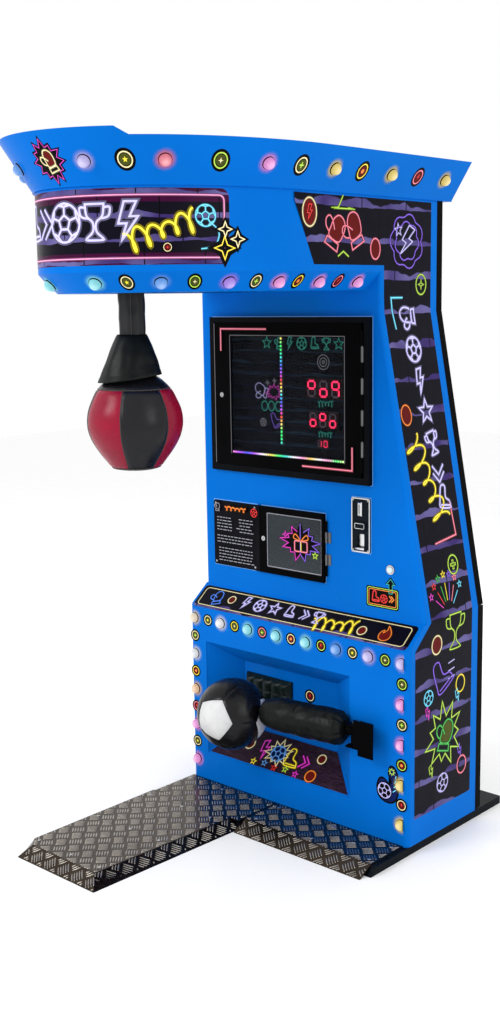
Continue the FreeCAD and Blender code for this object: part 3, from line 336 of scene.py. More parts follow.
def make_finishes():
    steel = (0.55, 0.54, 0.52, 1)
    return {
        "casing_blue": surface("casing_blue", BLUE, 0.3, spread=0.05, grain=(900, 0.12, 0.0003), blotch=3.0,
                               Specular_IOR_Level=0.02),
        "frame_black": surface("frame_black", BLACK, 0.36, spread=0.25, grain=(1100, 0.3, 0.0003),
                               Specular_IOR_Level=0.018),
        "base_black": speckled("base_black", (0.0016, 0.0032, 0.006, 1), (0.030, 0.040, 0.050, 1), 0.45),
        # The plate's metal is made far darker than the bars' copy of the same metal: painted shade.
        "treadplate": brushed("treadplate", (0.050, 0.037, 0.027, 1), 0.22, (60, 420, 60), metal=0.95),
        "inner_steel": surface("inner_steel", (0.34, 0.35, 0.36, 1), 0.42, 0.85, blotch=30, spread=0.3),
        "shaft_steel": brushed("shaft_steel", steel, 0.26, (900, 20, 20)),
        "bearing_iron": surface("bearing_iron", (0.09, 0.1, 0.1, 1), 0.5, 0.4, grain=(300, 0.5, 0.0008)),
        "screw_steel": brushed("screw_steel", (0.42, 0.42, 0.42, 1), 0.3, (300, 300, 300)),
        "hinge_steel": brushed("hinge_steel", (0.16, 0.16, 0.165, 1), 0.34, (300, 300, 12), metal=0.8),
        "lock_chrome": brushed("lock_chrome", (0.5, 0.5, 0.52, 1), 0.2, (260, 260, 260), scratch=0.12),
        "coin_chrome": brushed("coin_chrome", (0.78, 0.78, 0.80, 1), 0.24, (500, 500, 14), scratch=0.2),
        "coin_dark": surface("coin_dark", (0.006, 0.009, 0.014, 1), 0.34, grain=(800, 0.3, 0.0003)),
        "lamp_clear": clear("lamp_clear", (0.9, 0.9, 0.92, 1), 0.6),
        "display_glass": clear("display_glass", (0.004, 0.006, 0.01, 1), 0.22),
        "print_board": surface("print_board", (0.002, 0.0025, 0.004, 1), 0.4, spread=0.3, blotch=16),
        "digit_red": surface("digit_red", (0.03, 0.012, 0.014, 1), 0.4, grain=(500, 0.2, 0.0003)),
        "light_bar": surface("light_bar", (0.05, 0.05, 0.05, 1), 0.5),
        "rules_print": surface("rules_print", (0.004, 0.004, 0.006, 1), 0.3, spread=0.3),
        "button_clear": clear("button_clear", (0.75, 0.9, 0.95, 1), 0.85, 0.15),
        "bag_leather": leather("bag_leather", (0.008, 0.009, 0.010, 1)),
        "pad_black": leather("pad_black", (0.0035, 0.0045, 0.004, 1), 0.34, 0.13, 520),
        "ball_leather": leather("ball_leather", (0.008, 0.008, 0.009, 1), 0.3, 0.25),
        "rubber_black": surface("rubber_black", (0.012, 0.012, 0.012, 1), 0.7, grain=(260, 0.5, 0.0008)),
        "circuit_green": surface("circuit_green", (0.01, 0.12, 0.035, 1), 0.4, spread=0.5, blotch=140),
    }


FINISH = make_finishes()

INK = {
    "white": linear(238, 236, 240), "cream": linear(240, 226, 170), "yellow": linear(250, 226, 50),
    "orange": linear(240, 130, 40), "red": linear(226, 44, 40), "pink": linear(250, 130, 150),
    "magenta": linear(220, 50, 190), "violet": linear(130, 90, 220), "lavender": linear(196, 190, 246),
    "blue": linear(70, 130, 240), "cyan": linear(110, 220, 250), "teal": linear(40, 170, 150),
    "green": linear(60, 180, 70), "lime": linear(180, 220, 70), "grey": linear(140, 140, 150),
    "maroon": linear(96, 20, 18), "olive": linear(74, 80, 30), "navy": linear(14, 30, 84),
    "black": linear(5, 5, 6), "orchid": linear(238, 150, 200), "sky": linear(96, 156, 226),
    "ash": linear(92, 88, 92),
}
ink_materials = {}


def ink(name):
    """Printing ink, the bright ones given a faint painted glow: "cyan" is the line itself, "cyan_halo" the
    dim glow printed round it.
    """
    if name not in ink_materials:
        plain, _, halo = name.partition("_")
        colour = INK[plain]
        if halo:
            ink_materials[name] = surface("ink_" + name, dimmed(colour, 0.2), 0.3, spread=0.1)
        elif plain in ("black", "maroon", "olive", "navy"):
            ink_materials[name] = surface("ink_" + name, colour, 0.28, spread=0.2)
        else:
            # The bright inks get a faint emission: painted glow on print that has no lamp behind it.
            ink_materials[name] = glowing("ink_" + name, colour, 0.3)
    return ink_materials[name]


# ---- surfaces that prints and lamps lie on ----------------------------------------------------
# Each place function takes a (to the right), b (up) and h (out of the surface), in metres.
HEAD_MID = centre_of("head_skin").x
HEAD_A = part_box("head_skin")[1].x - HEAD_MID
HEAD_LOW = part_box("head_skin")[0].z
HEAD_TURN = -0.200                     # where the head's straight sides begin
HEAD_B = HEAD_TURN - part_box("head_skin")[0].y
CROWN_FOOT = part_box("crown_band")[0].z + 3 * MM
CROWN_STEP = 6 * MM
CROWN_FLARE = 0.65
CROWN_Z = 1.773                        # height of the crown's lamps
BAND_IN = 45 * MM
BAND_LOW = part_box("head_lower_band")[0].z
BAND_FLARE = BAND_IN / (HEAD_LOW - BAND_LOW)
BAND_Z = (BAND_LOW + HEAD_LOW) / 2
TOWER_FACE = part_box("tower_front_panel")[0].y
HALF_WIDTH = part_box("console_panel")[1].x
TOWER_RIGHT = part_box("head_skin")[1].x
CONSOLE_LOW, CONSOLE_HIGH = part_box("console_panel")[0].z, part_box("console_panel")[1].z
BEND_Z = 1.430                         # height at which the slanted side turns vertical


def head_turn(offset, run):
    """Angle on the head's rounded front, and length along the straight side, at a distance run."""
    a, b = HEAD_A + offset, HEAD_B + offset
    left, u, step = abs(run), 0.0, math.radians(0.25)
    while u < math.pi / 2:
        piece = math.hypot(a * math.cos(u), b * math.sin(u)) * step
        if piece >= left:
            return u + step * left / piece, 0.0
        left -= piece
        u += step
    return math.pi / 2, left


def on_flare(middle, offset_at, flare):
    """Band that leans outward by flare; distances along it are true at the height middle."""
    def place(run, b, h):
        u, straight = head_turn(offset_at(middle), run)
        side = 1.0 if run >= 0 else -1.0
        wide, deep = HEAD_A + offset_at(b), HEAD_B + offset_at(b)
        axis = Vector((side * math.sin(u) / wide, -math.cos(u) / deep, 0)).normalized()
        axis.z = -flare
        point = Vector((HEAD_MID + side * wide * math.sin(u), HEAD_TURN - deep * math.cos(u) + straight, b))
        return point + axis.normalized() * h
    return place


on_head = on_flare(0, lambda z: 0.0, 0.0)
on_crown = on_flare(CROWN_Z, lambda z: CROWN_STEP + CROWN_FLARE * (z - CROWN_FOOT), CROWN_FLARE)
on_band = on_flare(BAND_Z, lambda z: BAND_FLARE * (z - HEAD_LOW), BAND_FLARE)


def on_front(y):
    """Upright surface that faces the player, at the depth y."""
    return lambda a, b, h: Vector((a, y - h, b))


def on_console(a, b, h):
    """Sloping console panel: b runs up its slope from its lower edge."""
    run, rise = TOWER_FACE, CONSOLE_HIGH - CONSOLE_LOW
    length = math.hypot(run, rise)
    out = Vector((0, -rise, run)) * (h / length)
    return Vector((a, b * run / length, CONSOLE_LOW + b * rise / length)) + out


def on_right(a, b, h):
    """Right side of the cabinet and tower: a runs backwards, b is the height."""
    if b < CONSOLE_HIGH:
        return Vector((HALF_WIDTH + h, a, b))
    if b > BEND_Z:
        return Vector((TOWER_RIGHT + h, a, b))
    share = (b - CONSOLE_HIGH) / (BEND_Z - CONSOLE_HIGH)
    return Vector((HALF_WIDTH + (TOWER_RIGHT - HALF_WIDTH) * share + h, a, b))


def on_left(a, b, h):
    """Left side of the cabinet, upright: a runs forwards, b is the height."""
    return Vector((-HALF_WIDTH - h, -a, b))


# ---- outlines -------------------------------------------------------------------------------
def polar(radius, degrees):
    """Point of a flat outline at a radius and an angle."""
    angle = math.radians(degrees)
    return radius * math.cos(angle), radius * math.sin(angle)


def turns(count):
    """Equal steps round a full turn, in radians."""
    return [2 * math.pi * k / count for k in range(count)]


def ring(radius=0.5, count=40):
    return [polar(radius, 360.0 * k / count) for k in range(count)]


def star(tips, inner, start=90.0, outer=0.5, jitter=0.0):
    """Star with outer points and inner corners; jitter makes the points uneven."""
    points = []
    for k in range(2 * tips):
        uneven = 1 + jitter * math.sin(7.3 * k + 1.0)
        radius = outer * uneven if k % 2 == 0 else inner * outer
        points.append(polar(radius, start + 180.0 * k / tips))
    return points


def smooth(points, closed=False, per=6):
    """Catmull-Rom curve through the points."""
    count = len(points)
    out = []
    last = count if closed else count - 1
    for k in range(last):
        corners = []
        for step in (-1, 0, 1, 2):
            index = (k + step) % count if closed else min(max(k + step, 0), count - 1)
            corners.append(Vector(points[index]))
        p0, p1, p2, p3 = corners
        for j in range(per):
            t = j / per
            out.append(tuple(0.5 * (2 * p1 + (p2 - p0) * t + (2 * p0 - 5 * p1 + 4 * p2 - p3) * t * t
                                    + (3 * p1 - p0 - 3 * p2 + p3) * t ** 3)))
    if not closed:
        out.append(tuple(points[-1]))
    return out


def rounded(width, height, radius, per=5):
    """Rectangle about the origin with rounded corners."""
    points = []
    for cx, cy, start in ((1, 1, 0), (-1, 1, 90), (-1, -1, 180), (1, -1, 270)):
        for k in range(per + 1):
            x, y = polar(radius, start + 90 * k / per)
            points.append((cx * (width / 2 - radius) + x, cy * (height / 2 - radius) + y))
    return points


def moved(points, at=(0, 0), size=1.0, turn=0.0, stretch=1.0):
    """The points stretched upwards, scaled, turned by degrees and carried to at."""
    c, s = polar(1.0, turn)
    out = []
    for x, y in points:
        x, y = x * size, y * size * stretch
        out.append((at[0] + x * c - y * s, at[1] + x * s + y * c))
    return out


GLOVE = smooth([(-0.14, -0.22), (-0.16, 0.05), (-0.12, 0.30), (0.04, 0.47), (0.26, 0.46), (0.41, 0.30),
                (0.42, 0.04), (0.30, -0.22)], True)
THUMB = smooth([(-0.15, -0.14), (-0.36, -0.04), (-0.44, 0.14), (-0.34, 0.28), (-0.16, 0.22), (0.02, 0.02)])
CUFF = [(-0.20, -0.27), (0.34, -0.27), (0.37, -0.48), (-0.23, -0.48)]
CUP = smooth([(-0.26, 0.45), (-0.22, 0.15), (-0.05, -0.02), (-0.05, -0.25), (-0.22, -0.42), (-0.2, -0.47),
              (0.2, -0.47), (0.22, -0.42), (0.05, -0.25), (0.05, -0.02), (0.22, 0.15), (0.26, 0.45)],
             False, 4)
HANDLE = smooth([(0.25, 0.36), (0.42, 0.36), (0.38, 0.14), (0.18, 0.08)])
BOLT = [(-0.08, 0.5), (0.24, 0.5), (0.06, 0.12), (0.28, 0.12), (-0.16, -0.5), (-0.02, -0.06), (-0.24, -0.06)]
ARROW = [(0, 0.5), (0.34, 0.12), (0.14, 0.12), (0.14, -0.5), (-0.14, -0.5), (-0.14, 0.12), (-0.34, 0.12)]
BOOT = smooth([(-0.16, 0.48), (0.12, 0.48), (0.14, 0.05), (0.40, -0.10), (0.48, -0.30), (0.44, -0.38),
               (-0.22, -0.38), (-0.26, -0.10)], True, 5)
FLAME = smooth([(0.0, -0.48), (-0.30, -0.34), (-0.36, -0.02), (-0.18, 0.20), (-0.16, 0.02), (0.0, 0.26),
                (-0.04, 0.50), (0.22, 0.24), (0.36, -0.04), (0.30, -0.34)], True, 5)
PUFFS = [0.84 + 0.16 * abs(math.sin(3.5 * math.radians(9 * k))) for k in range(40)]
CLOUD = [(x * puff, y * puff) for (x, y), puff in zip(ring(), PUFFS)]
WAVE = [(k / 120 - 0.5 + 0.052 * math.sin(math.pi * k / 12),
         0.12 * (1 + 0.3 * math.sin(0.07 * k)) * math.cos(math.pi * k / 12)) for k in range(121)]


def ball_lines():
    """A ball: its outline, a five-sided patch and the five seams that run out from it."""
    lines = [(ring(0.5), True), (star(5, 0.809, 90, 0.2), True)]
    for k in range(5):
        fork = polar(0.42, 72 * k + 90)
        lines.append(([polar(0.2, 72 * k + 90), fork], False))
        lines.append(([polar(0.49, 72 * k + 68), fork, polar(0.49, 72 * k + 112)], False))
    return lines


ICONS = {
    "glove": [(GLOVE, True), (THUMB, False), (CUFF, True)],
    "ball": ball_lines(),
    "star": [(star(5, 0.42), True)],
    "sparkle": [(star(4, 0.3), True)],
    "burst": [(star(11, 0.62, 90, 0.5, 0.16), True)],
    "cup": [(CUP, True), (HANDLE, False), ([(-x, y) for x, y in HANDLE], False)],
    "bolt": [(BOLT, True)],
    "boot": [(BOOT, True), ([(-0.2, -0.28), (0.44, -0.28)], False)],
    "flame": [(FLAME, True)],
    "cloud": [(CLOUD, True), (moved(CLOUD, size=0.72, turn=18), True)],
    "target": [(ring(0.5), True), (ring(0.3), True), (ring(0.1, 16), True)],
    "ring": [(ring(0.5), True)],
    "chevron": [([(-0.3, 0.4), (0.1, 0.0), (-0.3, -0.4)], False),
                ([(0.0, 0.4), (0.4, 0.0), (0.0, -0.4)], False)],
}


# ---- prints ---------------------------------------------------------------------------------
def divided(points, closed, step=0.012):
    """The same line with no piece of it longer than step."""
    ends = points + points[:1] if closed else points
    out = []
    for first, last in zip(ends, ends[1:]):
        count = max(1, math.ceil(math.dist(first, last) / step))
        for k in range(count):
            t = k / count
            out.append((first[0] + (last[0] - first[0]) * t, first[1] + (last[1] - first[1]) * t))
    if not closed:
        out.append(ends[-1])
    return out


def band_faces(count, rows, base=0, closed=False):
    """Four-sided faces between rows of count points that go round; closed joins the last row to the first."""
    faces = []
    for i in range(rows if closed else rows - 1):
        this, other = base + i * count, base + (i + 1) % rows * count
        for k in range(count):
            n = (k + 1) % count
            faces.append([this + k, this + n, other + n, other + k])
    return faces


def new_piece(name, verts, faces, material, body, slot, uvs=None):
    """A mesh object with its materials and its body; slot is not used."""
    mesh = bpy.data.meshes.new(name)
    mesh.from_pydata(verts, [], faces)
    if uvs:
        layer = mesh.uv_layers.new(name="metres")
        for loop in mesh.loops:
            layer.data[loop.index].uv = uvs[loop.vertex_index]
    for one in material if isinstance(material, list) else [material]:
        mesh.materials.append(one)
    mesh.shade_smooth()
    piece = bpy.data.objects.new(name, mesh)
    bpy.context.scene.collection.objects.link(piece)
    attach(piece, body)
    return piece


# Heights of the layers of a print above its panel.
BOARD, HALO, LINE, TOP = 0.35 * MM, 0.5 * MM, 0.7 * MM, 0.85 * MM


class Print:
    """One printed panel. Each ink becomes one mesh that follows the panel's surface."""

    def __init__(self, name, place, body="cabinet", slot="frame_black"):
        self.name, self.place, self.body, self.slot = name, place, body, slot
        self.layers = {}

    def quads(self, layer, rows, height, closed=False):
        """Joins rows of (a, b) points by four-sided faces that look outwards."""
        flat, faces = self.layers.setdefault(layer, ([], []))
        base = len(flat)
        width = len(rows[0])
        for row in rows:
            flat.extend((a, b, height) for a, b in row)
        for i in range(len(rows) - 1):
            for j in range(width if closed else width - 1):
                k = (j + 1) % width
                corners = [base + i * width + j, base + i * width + k,
                           base + (i + 1) * width + k, base + (i + 1) * width + j]
                area = 0.0
                for first, last in zip(corners, corners[1:] + corners[:1]):
                    area += flat[first][0] * flat[last][1] - flat[last][0] * flat[first][1]
                faces.append(corners if area > 0 else corners[::-1])

    def sheet(self, layer, ends_at, levels, columns, height=BOARD):
        """A filled area between ends_at(b) = (left, right), cut into rows at the given levels."""
        rows = []
        for b in levels:
            left, right = ends_at(b)
            rows.append([(left + (right - left) * j / columns, b) for j in range(columns + 1)])
        self.quads(layer, rows, height)

    def shape(self, layer, outline, height=BOARD, hole=0.0, rings=3):
        """A filled outline round its own middle, with a hole of that share of its size."""
        mid = (sum(p[0] for p in outline) / len(outline), sum(p[1] for p in outline) / len(outline))
        rows = []
        for k in range(rings + 1):
            share = max(hole + (1 - hole) * k / rings, 0.02)
            rows.append([(mid[0] + (a - mid[0]) * share, mid[1] + (b - mid[1]) * share) for a, b in outline])
        self.quads(layer, rows, height, True)

    def line(self, layer, points, width, height=LINE, closed=False):
        """A flat line of even width, mitred at its corners."""
        points = divided([tuple(p) for p in points], closed)
        count = len(points)
        rows = [[], []]
        for k, point in enumerate(points):
            before = points[k - 1] if closed or k else point
            after = points[(k + 1) % count] if closed or k < count - 1 else point
            first = Vector((point[0] - before[0], point[1] - before[1]))
            last = Vector((after[0] - point[0], after[1] - point[1]))
            first = first.normalized() if first.length > 1e-9 else last.normalized()
            last = last.normalized() if last.length > 1e-9 else first
            along = (first + last).normalized() if (first + last).length > 0.1 else first
            reach = width / 2 / max(0.45, along.dot(first))
            rows[0].append((point[0] - along.y * reach, point[1] + along.x * reach))
            rows[1].append((point[0] + along.y * reach, point[1] - along.x * reach))
        if closed:
            for row in rows:
                row.append(row[0])
        self.quads(layer, rows, height)

    def neon(self, colour, points, width=2.6 * MM, closed=False):
        """A bright line with a wider dim line under it."""
        self.line(colour + "_halo", points, width * 2.6, HALO, closed)
        self.line(colour, points, width, LINE, closed)

    def icon(self, name, colour, at, size, width=2.6 * MM, turn=0.0, stretch=1.0, fill=None):
        """One of the ICONS in neon; its first outline can be filled."""
        for number, (points, closed) in enumerate(ICONS[name]):
            placed = moved(points, at, size, turn, stretch)
            if fill and number == 0:
                self.shape(fill, placed, BOARD + 0.05 * MM)
            self.neon(colour, placed, width, closed)

    def icons(self, *rows, at=lambda a, b: (a, b)):
        """Icons from rows of (name, colour, a, b, size, line width in millimetres, turn, stretch, fill)."""
        for name, colour, a, b, size, *rest in rows:
            width = rest.pop(0) if rest else 2.6
            self.icon(name, colour, at(a, b), size, width * MM, *rest)

    def badge(self, at, radius, ring_colour, mark, mark_colour):
        """Round sticker: black edge, coloured ring, dark middle and a small mark."""
        round_edge = ring(1.0, 28)
        middle = "maroon" if mark_colour in ("red", "orange") else "olive"
        self.shape("black", moved(round_edge, at, radius), BOARD)
        self.shape(ring_colour, moved(round_edge, at, radius * 0.74), HALO, 0.84, 1)
        self.shape(middle, moved(round_edge, at, radius * 0.54), HALO)
        self.shape(mark_colour, moved(MARKS[mark], at, radius * 0.56), LINE, 0.0, 1)

    def done(self, boards=None):
        """Makes the meshes; boards maps a layer name to the material that isn't plain ink."""
        for layer, (flat, faces) in self.layers.items():
            verts = [self.place(a, b, h) for a, b, h in flat]
            material = (boards or {}).get(layer) or ink(layer)
            new_piece(f"{self.name}_{layer}", verts, faces, material, self.body, self.slot,
                      [(a, b) for a, b, h in flat])


MARKS = {
    "star": star(5, 0.42),
    "cross": [(-0.12, 0.5), (0.12, 0.5), (0.12, 0.12), (0.5, 0.12), (0.5, -0.12), (0.12, -0.12),
              (0.12, -0.5), (-0.12, -0.5), (-0.12, -0.12), (-0.5, -0.12), (-0.5, 0.12), (-0.12, 0.12)],
    "bolt": BOLT,
    "dot": ring(0.4, 16),
    "sparkle": star(4, 0.32),
}
ICONS["cross_mark"] = [(MARKS["cross"], True)]


def corner_ends(left, right, low, high, radius):
    """Left and right ends of a rectangle with rounded corners, at any height b."""
    def ends(b):
        deep = max(0.0, radius - min(b - low, high - b))
        draw = radius - math.sqrt(max(0.0, radius ** 2 - deep ** 2))
        return left + draw, right - draw
    return ends


def corner_levels(low, high, radius, count):
    """Heights of the rows of such a rectangle, close together at its rounded corners."""
    ends = [radius * (1 - math.cos(math.radians(18 * k))) for k in range(6)]
    inner = [low + radius + (high - low - 2 * radius) * k / count for k in range(1, count)]
    return [low + e for e in ends] + inner + [high - e for e in reversed(ends)]


# ---- lamps ----------------------------------------------------------------------------------
LAMP_TINT = {
    "cream": (1.0, 0.86, 0.66, 1), "white": (0.95, 0.97, 1.0, 1), "cyan": (0.32, 0.9, 1.0, 1),
    "azure": (0.16, 0.42, 1.0, 1), "lavender": (0.62, 0.56, 1.0, 1), "violet": (0.5, 0.3, 1.0, 1),
    "pink": (1.0, 0.38, 0.85, 1), "rose": (1.0, 0.26, 0.34, 1), "yellow": (1.0, 0.78, 0.22, 1),
    "peach": (1.0, 0.66, 0.42, 1),
}
CROWN_TINTS = ["azure"] * 6 + ["lavender", "rose", "pink"] + ["yellow"] * 3
BAND_TINTS = ["cyan"] * 7 + ["azure", "violet"] + ["pink"] * 3
ROW_TINTS = ["cream", "white", "cyan", "cyan", "cyan", "azure", "lavender", "lavender"]
LEFT_TINTS = ["white", "peach", "pink", "pink"]
RIGHT_TINTS = ["pink", "pink", "yellow", "yellow"]
lamp_materials = {}


def lamp_material(tint):
    """The dome's and the halo's material of one tint, made when first asked for."""
    if tint not in lamp_materials:
        colour = LAMP_TINT[tint]
        lamp_materials[tint] = [lamp_glow("lamp_" + tint, colour), lamp_halo("halo_" + tint, colour)]
    return lamp_materials[tint]


FLAT_HALF = 0.386         # half-width of the flat part of the lower front, between its rounded corners
HALO_R, RIM_R, DOME_R = 31.0, 16.0, 14.5      # radii of a lamp's spilt light, rim and dome, in millimetres
DOME_FOOT = 3.0
LAMP_SIDES = 28


def lamp_profile():
    """Radius and height of a lamp from the edge of its halo to the top of its dome, in millimetres."""
    rim = [(HALO_R, 0.15), (RIM_R, 0.15), (RIM_R, 2.4), (15.6, DOME_FOOT), (14.6, DOME_FOOT), (DOME_R, 4.2)]
    dome = [polar(DOME_R, degrees) for degrees in range(12, 90, 11)]
    return rim + [(out, DOME_FOOT + up) for out, up in dome] + [(0.35, 17.5)]


def add_lamps(name, places, node):
    """Domed lamp caps at (place, a, b, tint), as one mesh with one material for each colour."""
    profile, count = lamp_profile(), LAMP_SIDES
    verts, faces, uvs, slots = [], [], [], []
    materials = [FINISH["frame_black"]]
    for place, a, b, tint in places:
        if lamp_material(tint)[0] not in materials:
            materials += lamp_material(tint)
        number = materials.index(lamp_material(tint)[0])
        base = len(verts)
        middle = place(a, b, 0.4 * MM)
        axis = (place(a, b, 0.01) - middle).normalized()
        across = axis.orthogonal().normalized()
        third = axis.cross(across)
        for radius, height in profile:
            for angle in turns(count):
                spoke = across * math.cos(angle) + third * math.sin(angle)
                vert = middle + spoke * (radius * MM) + axis * (height * MM)
                if node == "cabinet_lamps":
                    vert.x = max(-FLAT_HALF, min(FLAT_HALF, vert.x))
                verts.append(vert)
                uvs.append((radius / DOME_R, 0.0))
        faces += band_faces(count, len(profile), base)
        for i in range(len(profile) - 1):
            slots += [number + 1 if i == 0 else 0 if i < 4 else number] * count
        faces.append([base + (len(profile) - 1) * count + k for k in range(count)])
        slots.append(number)
    piece = new_piece(name, verts, faces, materials, "cabinet", "lamp_clear", uvs)
    for face, number in zip(piece.data.polygons, slots):
        face.material_index = number
    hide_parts(node)


# Distances of the lamps, and of the badges between them, from the head's front middle along its curve.
CROWN_RUNS = (0.118, 0.297, 0.548, 0.769, 0.997, 1.236)
CROWN_BADGES = (0.210, 0.425, 0.648, 0.878, 1.114)
BAND_RUNS = (0.082, 0.233, 0.397, 0.540, 0.686, 0.840)
BAND_BADGES = (0.156, 0.312, 0.472, 0.606, 0.762)
ROW_PITCH, COLUMN_PITCH = 0.1085, 0.111
ROW_Z, COLUMN_X = 0.527, 0.380
RINGS = ["cream", "lime", "yellow", "cream", "pink", "lime", "cream"]
BADGE_MARKS = [("star", "yellow"), ("cross", "lime"), ("bolt", "red"), ("sparkle", "cream"),
               ("dot", "orange")]


def add_badges(name, surface_at, places, radius):
    """A print of round badges at the places, with rings and marks taken in turn."""
    prints = Print(name, surface_at)
    for number, place in enumerate(places):
        mark, colour = BADGE_MARKS[(number * 3) % len(BADGE_MARKS)]
        prints.badge(place, radius, RINGS[(number * 2) % len(RINGS)], mark, colour)
    prints.done()


def both_ways(runs):
    """The distances to the left of the middle, then the same to its right."""
    return [-run for run in reversed(runs)] + list(runs)


def lamps_and_badges():
    """The lamps of the crown, the head band and the lower front, with badges between them."""
    front = on_front(0)
    crown = [(on_crown, run, CROWN_Z, t) for run, t in zip(both_ways(CROWN_RUNS), CROWN_TINTS)]
    add_lamps("crown_lamp_domes", crown, "crown_lamps")
    band = [(on_band, run, BAND_Z, t) for run, t in zip(both_ways(BAND_RUNS), BAND_TINTS)]
    add_lamps("head_lamp_domes", band, "head_lamps")
    row = [(front, -COLUMN_X + k * ROW_PITCH, ROW_Z, t) for k, t in enumerate(ROW_TINTS)]
    left = [(front, -COLUMN_X, ROW_Z - (k + 1) * COLUMN_PITCH, t) for k, t in enumerate(LEFT_TINTS)]
    right = [(front, COLUMN_X, ROW_Z - (k + 1) * COLUMN_PITCH, t) for k, t in enumerate(RIGHT_TINTS)]
    add_lamps("cabinet_lamp_domes", row + left + right, "cabinet_lamps")
    add_badges("crown_badges", on_crown, [(run, CROWN_Z) for run in both_ways(CROWN_BADGES)], 23 * MM)
    add_badges("band_badges", on_band, [(run, BAND_Z) for run in both_ways(BAND_BADGES)], 18 * MM)
    places = [(-COLUMN_X + (k + 0.5) * ROW_PITCH, ROW_Z) for k in range(7)]
    for side in (-1, 1):
        places += [(side * COLUMN_X, ROW_Z - (k + 0.5) * COLUMN_PITCH) for k in range(4)]
    add_badges("front_badges", front, places, 18.5 * MM)


# ---- printed panels -------------------------------------------------------------------------
LAVENDER_BAND = (0.13, 0.115, 0.30, 1)
PURPLE_BAND = (0.040, 0.022, 0.13, 1)
WALL = brick_print("print_wall", PURPLE_BAND, LAVENDER_BAND, 0.089, 0.19, thick=(0.06, 0.26))
WALL_MARQUEE = brick_print("print_wall_marquee", PURPLE_BAND, LAVENDER_BAND, 0.050, 0.14,
                           (0.004, 0.003, 0.008, 1), (0.08, 0.34), (1.574, 1.686, (0.045, 0.002, 0.030, 1)))
WALL_BOARD = brick_print("print_wall_board", (0.004, 0.008, 0.03, 1), (0.012, 0.03, 0.05, 1), 0.033, 0.085)
WALL_PURPLE = brick_print("print_wall_purple", (0.035, 0.014, 0.06, 1), (0.075, 0.04, 0.10, 1), 0.036, 0.1,
                          (0.03, 0.014, 0.02, 1))


HEAD_PRINT_FOOT, HEAD_PRINT_TOP = 1.549, 1.716      # heights of the printed band round the head
SIDE_PRINT_FOOT = 0.093


def side_outline(b):
    """Front and back edge of the side print at height b, as distances from the cabinet's front."""
    if b > HEAD_PRINT_FOOT:
        share = (b - HEAD_PRINT_FOOT) / (1.714 - HEAD_PRINT_FOOT)
        deep = max(0.0, 0.018 - (HEAD_PRINT_TOP - b))
        return -0.194 - 0.078 * share + deep * 0.4, 0.302
    if b > BEND_Z:
        return 0.090, 0.302
    if b > CONSOLE_HIGH:
        return 0.092 + 0.010 * (BEND_Z - b) / (BEND_Z - CONSOLE_HIGH), 0.302
    if b > CONSOLE_LOW - 0.005:
        return 0.030 + 0.072 * (b - CONSOLE_LOW + 0.005) / 0.064, 0.300
    return 0.030, 0.300


